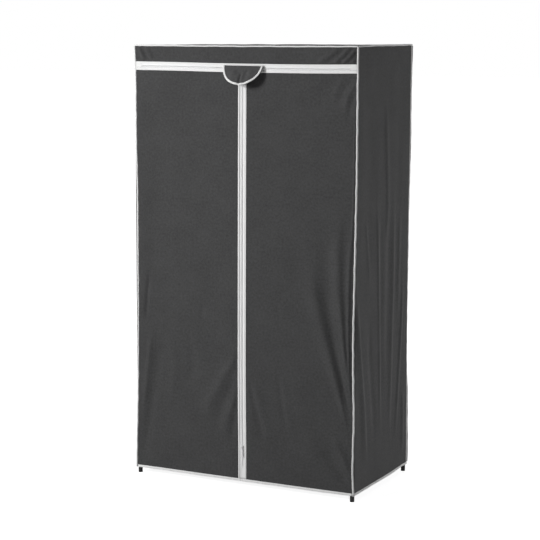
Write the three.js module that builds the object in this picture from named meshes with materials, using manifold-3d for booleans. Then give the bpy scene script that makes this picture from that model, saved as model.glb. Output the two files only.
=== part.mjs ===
// A portable fabric wardrobe: a frame of steel tubes in moulded corner fittings, under a cover of
// woven cloth with two zipped doors. Millimetres, +Z up, +X to the right and +Y to the back.
// The origin is the bottom centre of the whole object's box.
import * as THREE from "three";
import { mergeVertices } from "three/addons/utils/BufferGeometryUtils.js";
import Module from "manifold-3d";

const wasm = await Module();
wasm.setup();

// Outside of the cover, from piping to piping, and from the floor to the top.
const cover_width = 900;
const cover_depth = 500;
const cover_height = 1600;

// Gaps between pieces.
const seam_gap = 0.3;
const cover_clearance = 0.4;

// Cloth, piping and hem.
const cloth_thickness = 1.2;
const piping_radius = 3.2;
const hem_rise = 25;
const hem_height = 9.5;
const hem_thickness = 1;
const seam_allowance = 2;
const top_sag = 8;

// Folds of the hanging cloth, which lies a little hollow between its seams.
const panel_hollow = 5;
const fold_height = 8;
const fold_width = 42;
const fold_fade = 70;

// Tubes and fittings.
const tube_radius = 6.5;
const tube_wall = 0.8;
const fitting_wall = 1.4;
const foot_sole = 14;
const bottom_rail_rise = 38;
const socket_depth = 34;
const gusset_width = 3;
const gusset_height = 9;
const coupler_length = 64;
const coupler_web = 2;

// Hanging rail and its holders.
const hanging_rail_radius = 8;
const hanging_rail_wall = 1;
const hanging_rail_drop = 46;
const holder_wall = 2;
const holder_depth = 22;
const holder_length = 24;
const holder_web = 8;

// Zips.
const zip_drop = 74;
const tape_width = 31;
const tape_thickness = 1;
const chain_width = 5.6;
const chain_height = 2.4;
const chain_chamfer = 0.8;
const top_chain_length = 836;
const door_chain_foot = 80;
const slider_width = 8.4;
const slider_length = 13;
const slider_height = 5;
const slider_play = 0.8;
const slider_parking = 151;

// Bridge on a slider, and the pull tab that hangs on it.
const bridge_width = 1.6;
const bridge_bar = 1.2;
const bridge_length = 6.4;
const bridge_opening = 2.2;
const tab_width = 5.2;
const tab_length = 36;
const tab_thickness = 1.3;
const tab_clearance = 0.4;
const tab_eye = 4.6;

// Flap over the place where the zips meet.
const flap_half_width = 80;
const flap_length = 84;
const flap_offset = 8;
const flap_rise = 8;
const flap_reach = 4;
const flap_roll_radius = 7;
const flap_lean_deg = 30;
const flap_binding_width = 7;
const flap_binding_thickness = 2;

// Numbers of facets and of steps.
const round_sides = 16;
const piping_sides = 12;
const fold_columns = 11;
const fold_rows = 15;
const flap_rows = 7;
const flap_columns = 8;

// Main folds of each hanging panel, as seen from outside: the foot's place across and up the
// panel, the head's place across and up it, and the fold's height, outwards where it is positive.
const right_door_fold_shares = [
  [0.97, 0.2, 0.62, 0.45, -1],
  [0.99, 0.02, 0.8, 0.1, 0.7],
  [0.3, 0.15, 0.04, 0.45, 0.6],
  [0.97, 0.86, 0.72, 0.99, -0.5],
  [0.62, 0.1, 0.5, 0.75, 0.7],
];
const left_door_fold_shares = [
  [0.22, 0.08, 0.3, 0.8, 0.7],
  [0.55, 0.25, 0.48, 0.95, -0.6],
  [0.72, 0.15, 0.96, 0.42, 0.6],
  [0.04, 0.88, 0.2, 0.99, -0.4],
];
const side_fold_shares = [
  [0.26, 0.03, 0.02, 0.42, 0.9],
  [0.45, 0.08, 0.38, 0.9, -0.8],
  [0.74, 0.05, 0.66, 0.78, 0.9],
  [0.9, 0.35, 0.95, 0.85, -0.5],
];
const back_fold_shares = [
  [0.18, 0.1, 0.22, 0.9, 0.7],
  [0.42, 0.05, 0.4, 0.8, -0.7],
  [0.64, 0.2, 0.6, 0.95, 0.7],
  [0.86, 0.05, 0.8, 0.7, -0.6],
];

// Places worked out from the sizes.
const face_x = cover_width / 2 - piping_radius;
const face_y = cover_depth / 2 - piping_radius;
const face_z = cover_height - piping_radius;
const seam_edge = piping_radius + seam_gap;
const fitting_radius = tube_radius + seam_gap + fitting_wall;
const frame_inset = cloth_thickness + cover_clearance + fitting_radius;
const post_x = face_x - frame_inset;
const post_y = face_y - frame_inset;
const top_rail_z = face_z - frame_inset;
const rail_seat = fitting_radius + fitting_wall;
const middle_z = cover_height / 2;

const panel_x = face_x - seam_edge;
const panel_y = face_y - seam_edge;
const panel_top = face_z - seam_edge;
const panel_foot = hem_rise + hem_thickness + seam_gap;
const hem_top = hem_rise + hem_height;
const post_zone = frame_inset + fitting_radius + seam_gap;
const rail_zone = bottom_rail_rise + fitting_radius + seam_gap - panel_foot;

const zip_level = cover_height - zip_drop;
const chain_zone = slider_width / 2 + slider_play;
const door_top = zip_level - chain_zone - seam_gap;
const tape_half = tape_width / 2;
const tape_back = face_y + seam_gap;
const tape_face = tape_back + tape_thickness;
const tape_end = panel_x - seam_allowance;
const chain_back = tape_face + seam_gap;
const slider_face = chain_back + slider_height;
const tab_pivot = slider_face + bridge_opening / 2;

const hanging_rail_z = top_rail_z - hanging_rail_drop;
const holder_radius = hanging_rail_radius + seam_gap + holder_wall;

// Materials.
const finishes = {
  cloth: { color: 0x454545, roughness: 0.9, metalness: 0 },
  piping: { color: 0xe8e8e6, roughness: 0.75, metalness: 0 },
  tape: { color: 0xdedede, roughness: 0.8, metalness: 0 },
  zip: { color: 0xf0f0f0, roughness: 0.45, metalness: 0 },
  steel: { color: 0x2a2b2d, roughness: 0.4, metalness: 0.6 },
  fitting: { color: 0x101010, roughness: 0.5, metalness: 0 },
};

const assembly = new THREE.Group();

function place(name, geometry, finish, position = [0, 0, 0], turn = [0, 0, 0]) {
  const mesh = new THREE.Mesh(geometry, new THREE.MeshStandardMaterial(finishes[finish]));
  mesh.name = name;
  mesh.position.set(...position);
  mesh.rotation.set(...turn);
  assembly.add(mesh);
  return mesh;
}

// Each corner of the frame: its name, its place, and the turn that sets its arms along the rails.
const corners = [
  ["front_left", -1, -1, 0],
  ["front_right", 1, -1, Math.PI / 2],
  ["back_right", 1, 1, Math.PI],
  ["back_left", -1, 1, -Math.PI / 2],
];
const hands = [["left", -1], ["right", 1]];

function clamp01(value) {
  return Math.min(1, Math.max(0, value));
}

function smooth(value) {
  const t = clamp01(value);
  return t * t * (3 - 2 * t);
}

function spread(from, to, steps) {
  return Array.from({ length: steps + 1 }, (_, i) => from + ((to - from) * i) / steps);
}

// A closed solid from its points and triangles, with its faces turned outwards.
function solidFrom(points, triangles) {
  let volume = 0;
  for (const [a, b, c] of triangles) {
    const [p, q, r] = [points[a], points[b], points[c]].map((v) => new THREE.Vector3(...v));
    volume += p.dot(q.cross(r));
  }
  const faces = volume < 0 ? triangles.map(([a, b, c]) => [a, c, b]) : triangles;
  const geometry = new THREE.BufferGeometry();
  geometry.setAttribute("position", new THREE.Float32BufferAttribute(points.flat(), 3));
  geometry.setIndex(faces.flat());
  geometry.computeVertexNormals();
  return geometry;
}

// A sheet with a thickness: a grid of points on its outer face and one on its inner face.
function sheetSolid(columns, rows, outer, inner) {
  const across = columns.length;
  const up = rows.length;
  const points = [];
  for (const face of [outer, inner])
    for (const v of rows) for (const u of columns) points.push(face(u, v));
  const at = (side, i, j) => side * across * up + j * across + i;
  const triangles = [];
  const quad = (a, b, c, d) => triangles.push([a, b, c], [a, c, d]);
  for (let j = 0; j + 1 < up; j++)
    for (let i = 0; i + 1 < across; i++) {
      quad(at(0, i, j), at(0, i + 1, j), at(0, i + 1, j + 1), at(0, i, j + 1));
      quad(at(1, i, j), at(1, i, j + 1), at(1, i + 1, j + 1), at(1, i + 1, j));
    }
  const last_i = across - 1;
  const last_j = up - 1;
  for (let i = 0; i < last_i; i++) {
    quad(at(0, i, 0), at(1, i, 0), at(1, i + 1, 0), at(0, i + 1, 0));
    quad(at(0, i + 1, last_j), at(1, i + 1, last_j), at(1, i, last_j), at(0, i, last_j));
  }
  for (let j = 0; j < last_j; j++) {
    quad(at(0, 0, j + 1), at(1, 0, j + 1), at(1, 0, j), at(0, 0, j));
    quad(at(0, last_i, j), at(1, last_i, j), at(1, last_i, j + 1), at(0, last_i, j + 1));
  }
  return solidFrom(points, triangles);
}

// A section of [outwards, height] points carried along stations, with a mitre at each turn.
// A station is its place in plan and the way in which "outwards" lies there.
function mitredSweep(section, stations, closed) {
  const count = section.length;
  const points = stations.flatMap(({ x, y, out_x, out_y }) =>
    section.map(([out, height]) => [x + out_x * out, y + out_y * out, height]));
  const triangles = [];
  const runs = closed ? stations.length : stations.length - 1;
  for (let k = 0; k < runs; k++)
    for (let i = 0; i < count; i++) {
      const next = (i + 1) % count;
      const here = k * count;
      const there = ((k + 1) % stations.length) * count;
      triangles.push([here + i, here + next, there + next], [here + i, there + next, there + i]);
    }
  if (!closed) {
    const outline = section.map(([out, height]) => new THREE.Vector2(out, height));
    const turned = THREE.ShapeUtils.area(outline) < 0;
    const far = (stations.length - 1) * count;
    for (const [a, b, c] of THREE.ShapeUtils.triangulateShape(outline, [])) {
      triangles.push(turned ? [a, b, c] : [a, c, b]);
      triangles.push(turned ? [far + a, far + c, far + b] : [far + a, far + b, far + c]);
    }
  }
  return solidFrom(points, triangles);
}

function toManifold(geometry) {
  const bare = geometry.clone();
  bare.deleteAttribute("normal");
  bare.deleteAttribute("uv");
  const merged = mergeVertices(bare, seam_gap / 1000);
  return new wasm.Manifold(new wasm.Mesh({
    numProp: 3,
    vertProperties: merged.attributes.position.array,
    triVerts: new Uint32Array(merged.index.array),
  }));
}

function fromManifold(manifold) {
  const mesh = manifold.getMesh();
  const geometry = new THREE.BufferGeometry();
  geometry.setAttribute("position", new THREE.BufferAttribute(mesh.vertProperties, 3));
  geometry.setIndex(new THREE.BufferAttribute(mesh.triVerts, 1));
  geometry.computeVertexNormals();
  return geometry;
}

// Joins the first list of geometries and cuts the second from them.
function joinAndCut(joined, cuts = []) {
  let result = toManifold(joined[0]);
  for (const geometry of joined.slice(1)) result = result.add(toManifold(geometry));
  for (const geometry of cuts) result = result.subtract(toManifold(geometry));
  return fromManifold(result);
}

function box([x0, x1], [y0, y1], [z0, z1]) {
  return new THREE.BoxGeometry(x1 - x0, y1 - y0, z1 - z0)
    .translate((x0 + x1) / 2, (y0 + y1) / 2, (z0 + z1) / 2);
}

// A round bar from one place to another along an axis named x, y or z.
function bar(axis, radius, from, to, centre = [0, 0, 0]) {
  const geometry = new THREE.CylinderGeometry(radius, radius, to - from, round_sides);
  geometry.translate(0, (from + to) / 2, 0);
  if (axis === "x") geometry.rotateZ(-Math.PI / 2);
  if (axis === "z") geometry.rotateX(Math.PI / 2);
  return geometry.translate(...centre);
}

// A tube centred on its own middle, along an axis named x, y or z.
function tube(axis, radius, wall, length) {
  const half = length / 2;
  const profile = [[radius - wall, -half], [radius, -half], [radius, half], [radius - wall, half]];
  const loop = [...profile, profile[0]].map(([r, y]) => new THREE.Vector2(r, y));
  const geometry = new THREE.LatheGeometry(loop, round_sides);
  if (axis === "x") geometry.rotateZ(-Math.PI / 2);
  if (axis === "z") geometry.rotateX(Math.PI / 2);
  return geometry;
}

// A triangular web in the upright plane of an arm, extruded across its middle.
function gusset(axis, inner, outer, low, high) {
  const outline = new THREE.Shape([
    new THREE.Vector2(inner, low),
    new THREE.Vector2(outer, high),
    new THREE.Vector2(inner, high),
  ]);
  const geometry = new THREE.ExtrudeGeometry(outline, { depth: gusset_width, bevelEnabled: false });
  geometry.translate(0, 0, -gusset_width / 2).rotateX(Math.PI / 2);
  if (axis === "y") geometry.rotateZ(Math.PI / 2);
  return geometry;
}

// Frame: fittings at the corners, with two arms for rails and a socket for the post.
const bore_radius = tube_radius + seam_gap;
const arm_end = rail_seat + socket_depth;

function railArms(level) {
  return ["x", "y"].map((axis) => bar(axis, fitting_radius, 0, arm_end, [0, 0, level]));
}

function railBores(level) {
  return ["x", "y"].map((axis) =>
    bar(axis, bore_radius, rail_seat, arm_end + fitting_wall, [0, 0, level]));
}

function footFitting() {
  const socket_top = bottom_rail_rise + fitting_radius + socket_depth;
  const web_foot = bottom_rail_rise - fitting_radius - gusset_height;
  const webs = ["x", "y"].map((axis) =>
    gusset(axis, fitting_radius / 2, arm_end, web_foot, bottom_rail_rise));
  return joinAndCut(
    [bar("z", fitting_radius, 0, socket_top), ...railArms(bottom_rail_rise), ...webs],
    [bar("z", bore_radius, foot_sole, socket_top + fitting_wall), ...railBores(bottom_rail_rise)],
  );
}

function topFitting() {
  const socket_foot = -fitting_radius - socket_depth;
  const web_foot = -fitting_radius - gusset_height;
  const webs = ["x", "y"].map((axis) => gusset(axis, fitting_radius / 2, arm_end, web_foot, 0));
  const cap = new THREE.SphereGeometry(fitting_radius, round_sides, round_sides / 2);
  return joinAndCut(
    [bar("z", fitting_radius, socket_foot, 0), cap.rotateX(Math.PI / 2), ...railArms(0), ...webs],
    [bar("z", bore_radius, socket_foot - fitting_wall, 0), ...railBores(0)],
  );
}

function postCoupler() {
  const half = coupler_length / 2;
  const web = coupler_web / 2;
  return joinAndCut(
    [bar("z", fitting_radius, -half, half)],
    [
      bar("z", bore_radius, web, half + fitting_wall),
      bar("z", bore_radius, -half - fitting_wall, -web),
    ],
  );
}

function post(low, high) {
  return tube("z", tube_radius, tube_wall, high - low).translate(0, 0, (low + high) / 2);
}

const lower_post_span = [foot_sole + seam_gap, middle_z - coupler_web / 2 - seam_gap];
const upper_post_span = [middle_z + coupler_web / 2 + seam_gap, top_rail_z - seam_gap];
for (const [corner, side, end, turn] of corners) {
  const [x, y] = [side * post_x, end * post_y];
  place(`foot_fitting_${corner}`, footFitting(), "fitting", [x, y, 0], [0, 0, turn]);
  place(`lower_post_${corner}`, post(...lower_post_span), "steel", [x, y, 0]);
  place(`post_coupler_${corner}`, postCoupler(), "fitting", [x, y, middle_z]);
  place(`upper_post_${corner}`, post(...upper_post_span), "steel", [x, y, 0]);
  place(`top_fitting_${corner}`, topFitting(), "fitting", [x, y, top_rail_z], [0, 0, turn]);
}

const long_rail = 2 * (post_x - rail_seat - seam_gap);
const short_rail = 2 * (post_y - rail_seat - seam_gap);
for (const [level_name, level] of [["bottom", bottom_rail_rise], ["top", top_rail_z]]) {
  for (const [end_name, end] of [["front", -1], ["back", 1]])
    place(`${level_name}_rail_${end_name}`, tube("x", tube_radius, tube_wall, long_rail), "steel",
      [0, end * post_y, level]);
  for (const [side_name, side] of hands)
    place(`${level_name}_rail_${side_name}`, tube("y", tube_radius, tube_wall, short_rail),
      "steel", [side * post_x, 0, level]);
}

// Hanging rail, carried by a holder on each of the top side rails.
const holder_wall_x = fitting_radius - holder_wall;

function railHolder() {
  const socket = [0, 0, -hanging_rail_drop];
  const half = holder_length / 2;
  const bore = hanging_rail_radius + seam_gap;
  return joinAndCut(
    [
      bar("y", fitting_radius, -half, half),
      bar("x", holder_radius, -holder_depth, fitting_radius, socket),
      box([-fitting_radius, fitting_radius], [-holder_web / 2, holder_web / 2],
        [-hanging_rail_drop, 0]),
    ],
    [
      bar("y", bore_radius, -holder_length, holder_length),
      bar("x", bore, -holder_depth - holder_wall, holder_wall_x, socket),
    ],
  );
}

const hanging_rail_length = 2 * (post_x + holder_wall_x - seam_gap);
place("hanging_rail", tube("x", hanging_rail_radius, hanging_rail_wall, hanging_rail_length),
  "steel", [0, 0, hanging_rail_z]);
for (const [side_name, side] of hands)
  place(`rail_holder_${side_name}`, railHolder(), "fitting", [side * post_x, 0, top_rail_z],
    [0, 0, side > 0 ? 0 : Math.PI]);

// Cover: a panel lies in its own X and Z, with its outer face towards -Y.
function fade(distance) {
  return smooth(distance / fold_fade);
}

function foldedPanel({ left, right, foot, head, flat, folds }) {
  const inner = {
    left: left + flat.left, right: right - flat.right, foot: foot + flat.foot, head: head - flat.head,
  };
  const columns = [left, ...spread(inner.left, inner.right, fold_columns - 1), right];
  const rows = [foot, ...spread(inner.foot, inner.head, fold_rows - 1), head];
  const rise = (u, v) => {
    const edge = Math.min(
      fade(u - inner.left), fade(inner.right - u), fade(v - inner.foot), fade(inner.head - v));
    let sum = -panel_hollow;
    for (const [foot_across, foot_up, head_across, head_up, height] of folds) {
      const start = new THREE.Vector2(
        left + (right - left) * foot_across, foot + (head - foot) * foot_up);
      const run = new THREE.Vector2(
        left + (right - left) * head_across, foot + (head - foot) * head_up).sub(start);
      const here = new THREE.Vector2(u, v).sub(start);
      const along = clamp01(here.dot(run) / run.lengthSq());
      const away = here.addScaledVector(run, -along).length();
      sum += height * fold_height * Math.exp(-((away / fold_width) ** 2));
    }
    return edge * sum;
  };
  return sheetSolid(columns, rows,
    (u, v) => [u, -rise(u, v), v],
    (u, v) => [u, cloth_thickness - rise(u, v), v]);
}

const holder_zone = panel_top - hanging_rail_z + holder_radius + seam_gap;
for (const [side_name, side] of hands)
  place(`side_panel_${side_name}`, foldedPanel({
    left: -panel_y, right: panel_y, foot: panel_foot, head: panel_top,
    flat: { left: post_zone, right: post_zone, foot: rail_zone, head: holder_zone },
    folds: side_fold_shares.map(([a, b, c, d, height]) =>
      [side > 0 ? a : 1 - a, b, side > 0 ? c : 1 - c, d, height]),
  }), "cloth", [side * face_x, 0, 0], [0, 0, (side * Math.PI) / 2]);

place("back_panel", foldedPanel({
  left: -panel_x, right: panel_x, foot: panel_foot, head: panel_top,
  flat: { left: post_zone, right: post_zone, foot: rail_zone, head: post_zone },
  folds: back_fold_shares,
}), "cloth", [0, face_y, 0], [0, 0, Math.PI]);

place("door_panel_right", foldedPanel({
  left: -chain_zone, right: panel_x, foot: panel_foot, head: door_top,
  flat: { left: chain_zone + tape_half, right: post_zone, foot: rail_zone, head: tape_half },
  folds: right_door_fold_shares,
}), "cloth", [0, -face_y, 0]);

place("door_panel_left", foldedPanel({
  left: -panel_x, right: -chain_zone - seam_gap, foot: panel_foot, head: door_top,
  flat: { left: post_zone, right: tape_half, foot: rail_zone, head: tape_half },
  folds: left_door_fold_shares,
}), "cloth", [0, -face_y, 0]);

place("front_band",
  box([-panel_x, panel_x], [0, cloth_thickness], [zip_level - chain_zone, panel_top]),
  "cloth", [0, -face_y, 0]);

function topSag(u, v) {
  return -top_sag * (1 - (u / panel_x) ** 2) * (1 - (v / panel_y) ** 2);
}

place("top_panel", sheetSolid(
  spread(-panel_x, panel_x, fold_columns - 1), spread(-panel_y, panel_y, flap_rows),
  (u, v) => [u, v, topSag(u, v)],
  (u, v) => [u, v, topSag(u, v) - cloth_thickness]), "cloth", [0, 0, face_z]);

// Piping: one ring round the top edge, and a length down each corner.
const piping_section = spread(0, 2 * Math.PI, piping_sides).slice(1).map((angle) =>
  [piping_radius * Math.cos(angle), face_z + piping_radius * Math.sin(angle)]);
place("top_piping", mitredSweep(piping_section, corners.map(([, side, end]) => ({
  x: side * face_x, y: end * face_y, out_x: side, out_y: end,
})), true), "piping");

for (const [corner, side, end] of corners) {
  const foot = end < 0 ? hem_rise : hem_top + seam_gap;
  const length = panel_top - foot;
  const geometry = new THREE.CylinderGeometry(piping_radius, piping_radius, length, piping_sides);
  geometry.rotateX(Math.PI / 2);
  place(`corner_piping_${corner}`, geometry, "piping",
    [side * face_x, end * face_y, foot + length / 2]);
}

// Hem binding: a strip on the outer face of the cloth, turned under its lower edge.
const hem_outer = seam_gap + hem_thickness;
const hem_section = [
  [hem_outer, hem_rise], [hem_outer, hem_top], [seam_gap, hem_top],
  [seam_gap, hem_rise + hem_thickness], [-cloth_thickness, hem_rise + hem_thickness],
  [-cloth_thickness, hem_rise],
];
const hem_front_y = panel_y - seam_allowance;
place("hem_binding_cover", mitredSweep(hem_section, [
  { x: -face_x, y: -hem_front_y, out_x: -1, out_y: 0 },
  { x: -face_x, y: face_y, out_x: -1, out_y: 1 },
  { x: face_x, y: face_y, out_x: 1, out_y: 1 },
  { x: face_x, y: -hem_front_y, out_x: 1, out_y: 0 },
], false), "piping");
const door_hem_spans = { left: [-tape_end, -chain_zone - seam_gap], right: [-chain_zone, tape_end] };
for (const [side_name] of hands)
  place(`hem_binding_door_${side_name}`, mitredSweep(hem_section,
    door_hem_spans[side_name].map((x) => ({ x, y: -face_y, out_x: 0, out_y: -1 })), false), "piping");

// Zip tapes: one along the band, and one down the free edge and along the head of each door.
function frontPlate(outline, back, thickness) {
  const shape = new THREE.Shape(outline.map(([x, z]) => new THREE.Vector2(x, z)));
  const geometry = new THREE.ExtrudeGeometry(shape, { depth: thickness, bevelEnabled: false });
  return geometry.rotateX(Math.PI / 2).translate(0, -back, 0);
}

place("zip_tape_band", box([-tape_end, tape_end], [-tape_face, -tape_back],
  [zip_level - chain_zone, zip_level + tape_half]), "tape");
const door_tape_edges = { left: -chain_zone - seam_gap, right: -chain_zone };
for (const [side_name, side] of hands) {
  const edge = door_tape_edges[side_name];
  const low = hem_top + seam_gap;
  const head_low = zip_level - tape_half;
  const outline = [
    [edge, low], [side * tape_half, low], [side * tape_half, head_low],
    [side * tape_end, head_low], [side * tape_end, door_top], [edge, door_top],
  ];
  place(`zip_tape_door_${side_name}`,
    frontPlate(side > 0 ? outline : outline.reverse(), tape_back, tape_thickness), "tape");
}

// Zip chains: a closed chain lies whole on one tape, and the other tape ends beside it.
function chain(length) {
  const half = chain_width / 2;
  const shape = new THREE.Shape([
    [-half, 0], [half, 0], [half, chain_height - chain_chamfer],
    [half - chain_chamfer, chain_height], [chain_chamfer - half, chain_height],
    [-half, chain_height - chain_chamfer],
  ].map(([x, y]) => new THREE.Vector2(x, y)));
  const geometry = new THREE.ExtrudeGeometry(shape, { depth: length, bevelEnabled: false });
  return geometry.rotateZ(Math.PI);
}

const door_chain_top = door_top - seam_allowance;
place("zip_chain_door", chain(door_chain_top - door_chain_foot), "zip",
  [0, -chain_back, door_chain_foot]);
place("zip_chain_top",
  chain(top_chain_length).rotateY(Math.PI / 2).translate(-top_chain_length / 2, 0, 0), "zip",
  [0, -chain_back, zip_level]);

// Slider: a channel over the chain, with a bridge on its face. The chain runs along x or z.
function slider(axis) {
  const half_length = slider_length / 2;
  const half_width = slider_width / 2;
  const half_channel = (chain_width + slider_width) / 4;
  const channel_top = (chain_height + slider_height - seam_gap) / 2;
  const cut = slider_length;
  const along = (half) => [-half, half];
  const body = axis === "z"
    ? box(along(half_width), [-slider_height, 0], along(half_length))
    : box(along(half_length), [-slider_height, 0], along(half_width));
  const channel = axis === "z"
    ? box(along(half_channel), [-channel_top, cut], along(cut))
    : box(along(cut), [-channel_top, cut], along(half_channel));
  const bridge_out = slider_height + bridge_opening + bridge_bar;
  const bridge = box(along(bridge_width / 2), [-bridge_out, -slider_height + bridge_bar / 2],
    along(bridge_length / 2));
  const opening = box(along(bridge_width), [-slider_height - bridge_opening, -slider_height],
    along(bridge_length / 2 - bridge_bar));
  return fromManifold(toManifold(bridge).subtract(toManifold(opening))
    .add(toManifold(body)).subtract(toManifold(channel)));
}

// Pull tab: a plate with a rounded tip and an eye, hanging from a bar that the bridge holds.
function pullTab() {
  const half = tab_width / 2;
  const top = tab_thickness / 2;
  const outline = new THREE.Shape();
  outline.moveTo(half, top);
  outline.lineTo(-half, top);
  outline.lineTo(-half, half - tab_length);
  outline.absarc(0, half - tab_length, half, Math.PI, 2 * Math.PI, false);
  outline.lineTo(half, top);
  const eye_half = bridge_width / 2 + tab_clearance;
  outline.holes.push(new THREE.Path([
    new THREE.Vector2(-eye_half, -top), new THREE.Vector2(eye_half, -top),
    new THREE.Vector2(eye_half, -tab_eye), new THREE.Vector2(-eye_half, -tab_eye),
  ]));
  const geometry = new THREE.ExtrudeGeometry(outline,
    { depth: tab_thickness, bevelEnabled: false, curveSegments: 4 });
  return geometry.translate(0, 0, -tab_thickness / 2).rotateX(Math.PI / 2);
}

const top_slider_x = slider_length / 2 + slider_play;
const slider_places = {
  door: ["z", 0, slider_parking],
  left: ["x", -top_slider_x, zip_level],
  right: ["x", top_slider_x, zip_level],
};
for (const [name, [axis, x, z]] of Object.entries(slider_places)) {
  place(`zip_slider_${name}`, slider(axis), "zip", [x, -chain_back, z]);
  place(`pull_tab_${name}`, pullTab(), "zip", [x, -tab_pivot, z]);
}

// Flap: half an ellipse of cloth that rolls out from its seam and leans away from the doors.
// A place on it is its distance across and its distance down the cloth from the seam.
const flap_lean = (flap_lean_deg * Math.PI) / 180;
const roll_angle = Math.PI / 2 - flap_lean;
const roll_length = flap_roll_radius * roll_angle;
const flap_seam_y = chain_back;
const flap_seam_z = zip_level + flap_rise;

function flapPoint(across, down, lift) {
  const turned = clamp01((down - flap_reach) / roll_length) * roll_angle;
  const past = Math.max(0, down - flap_reach - roll_length);
  const out = Math.min(down, flap_reach) + flap_roll_radius * Math.sin(turned)
    + past * Math.cos(turned) + lift * Math.sin(turned);
  const drop = flap_roll_radius * (1 - Math.cos(turned)) + past * Math.sin(turned)
    - lift * Math.cos(turned);
  return [flap_offset + across, -flap_seam_y - out, flap_seam_z - drop];
}

// Angles round the edge, at the roll and then evenly down to just before the lowest place.
const roll_downs = [0, flap_reach, flap_reach + roll_length / 2, flap_reach + roll_length];
const roll_angles = roll_downs.map((down) => Math.asin(down / flap_length));
const last_angle = Math.PI / 2 - (Math.PI / 2 - roll_angles[3]) / (2 * flap_rows + 1);
const edge_angles = [...roll_angles, ...spread(roll_angles[3], last_angle, flap_rows).slice(1)];

const flap_inset = flap_binding_width + seam_gap;
const flapFace = (lift) => (across, angle) => flapPoint(
  across * (flap_half_width - flap_inset) * Math.cos(angle),
  (flap_length - flap_inset) * Math.sin(angle), lift);
place("zip_flap", sheetSolid(spread(-1, 1, flap_columns), edge_angles,
  flapFace(0), flapFace(-cloth_thickness)), "cloth");

const round_angles = [...edge_angles, ...edge_angles.map((angle) => Math.PI - angle).reverse()];
const bindingFace = (lift) => (inset, angle) => flapPoint(
  (flap_half_width - inset) * Math.cos(angle), (flap_length - inset) * Math.sin(angle), lift);
const binding_proud = (flap_binding_thickness - cloth_thickness) / 2;
place("zip_flap_binding", sheetSolid([0, flap_binding_width], round_angles,
  bindingFace(binding_proud), bindingFace(-cloth_thickness - binding_proud)), "piping");

// The flap stands out in front, so the whole is moved back by half of what it reaches.
const outside = new THREE.Box3().setFromObject(assembly);
assembly.position.y = -(outside.min.y + outside.max.y) / 2;

const wardrobe = new THREE.Group();
wardrobe.add(assembly);

export default wardrobe;
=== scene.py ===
"""Portable fabric wardrobe of woven cloth, white trim, zips and tubes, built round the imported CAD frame."""

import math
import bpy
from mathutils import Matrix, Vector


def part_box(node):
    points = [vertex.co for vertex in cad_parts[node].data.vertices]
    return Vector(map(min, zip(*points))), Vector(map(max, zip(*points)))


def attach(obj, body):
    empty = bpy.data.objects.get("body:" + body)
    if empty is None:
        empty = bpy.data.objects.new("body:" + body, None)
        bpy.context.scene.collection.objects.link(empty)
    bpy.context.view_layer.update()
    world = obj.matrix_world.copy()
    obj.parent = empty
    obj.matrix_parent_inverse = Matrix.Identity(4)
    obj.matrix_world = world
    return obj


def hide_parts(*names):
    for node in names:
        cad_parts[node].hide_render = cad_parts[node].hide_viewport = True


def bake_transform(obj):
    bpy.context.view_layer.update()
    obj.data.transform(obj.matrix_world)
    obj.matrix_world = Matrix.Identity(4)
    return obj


bl_info = {
    "name": "Fabric wardrobe",
    "version": (1, 0, 0),
    "blender": (4, 5, 0),
    "location": "View3D > Sidebar > Wardrobe",
    "description": "Builds a portable wardrobe of woven cloth on a tube frame",
    "category": "Object",
}

import bpy
import numpy as np
from bpy.props import FloatProperty, FloatVectorProperty, IntProperty, PointerProperty
from bpy.types import Operator, Panel, PropertyGroup
from mathutils import Matrix, Vector

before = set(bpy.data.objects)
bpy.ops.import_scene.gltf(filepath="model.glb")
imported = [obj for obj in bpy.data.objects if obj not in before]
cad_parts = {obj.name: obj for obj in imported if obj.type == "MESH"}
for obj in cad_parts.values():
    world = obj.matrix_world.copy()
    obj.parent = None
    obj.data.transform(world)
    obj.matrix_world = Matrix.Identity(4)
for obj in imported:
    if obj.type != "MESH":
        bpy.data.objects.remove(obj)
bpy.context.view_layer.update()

MM = 0.001
BODY = "wardrobe_body"
CORNERS = ("front_left", "front_right", "back_right", "back_left")
HANDS = {"left": -1, "right": 1}


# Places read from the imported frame.
def span(node):
    low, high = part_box(node)
    return np.array(low), np.array(high)


def centre(node):
    low, high = span(node)
    return (low + high) / 2


SEAMS = {corner: centre(f"corner_piping_{corner}") for corner in CORNERS}
SIDE_X, FRONT_Y = SEAMS["front_right"][:2]
BACK_Y = SEAMS["back_right"][1]
MIDDLE_Y, HALF_DEPTH = (FRONT_Y + BACK_Y) / 2, (BACK_Y - FRONT_Y) / 2
TOP_Z = centre("top_piping")[2]
PIPING_RADIUS = TOP_Z - span("top_piping")[0][2]
PANEL_FOOT, PANEL_HEAD = span("back_panel")[0][2], span("front_band")[1][2]
DOOR_HEAD, BAND_FOOT = span("door_panel_right")[1][2], span("front_band")[0][2]
HEM_FOOT, HEM_HEAD = (end[2] for end in span("hem_binding_door_right"))
ZIP_Z = centre("zip_slider_left")[2]
DOOR_TAPE_HEAD, BAND_TAPE_HEAD = span("zip_tape_door_right")[1][2], span("zip_tape_band")[1][2]
CHAIN_FOOT, CHAIN_HEAD = (end[2] for end in span("zip_chain_door"))
TOP_CHAIN_START, TOP_CHAIN_END = (end[0] for end in span("zip_chain_top"))
POST_X = centre("upper_post_front_right")[0]

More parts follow.
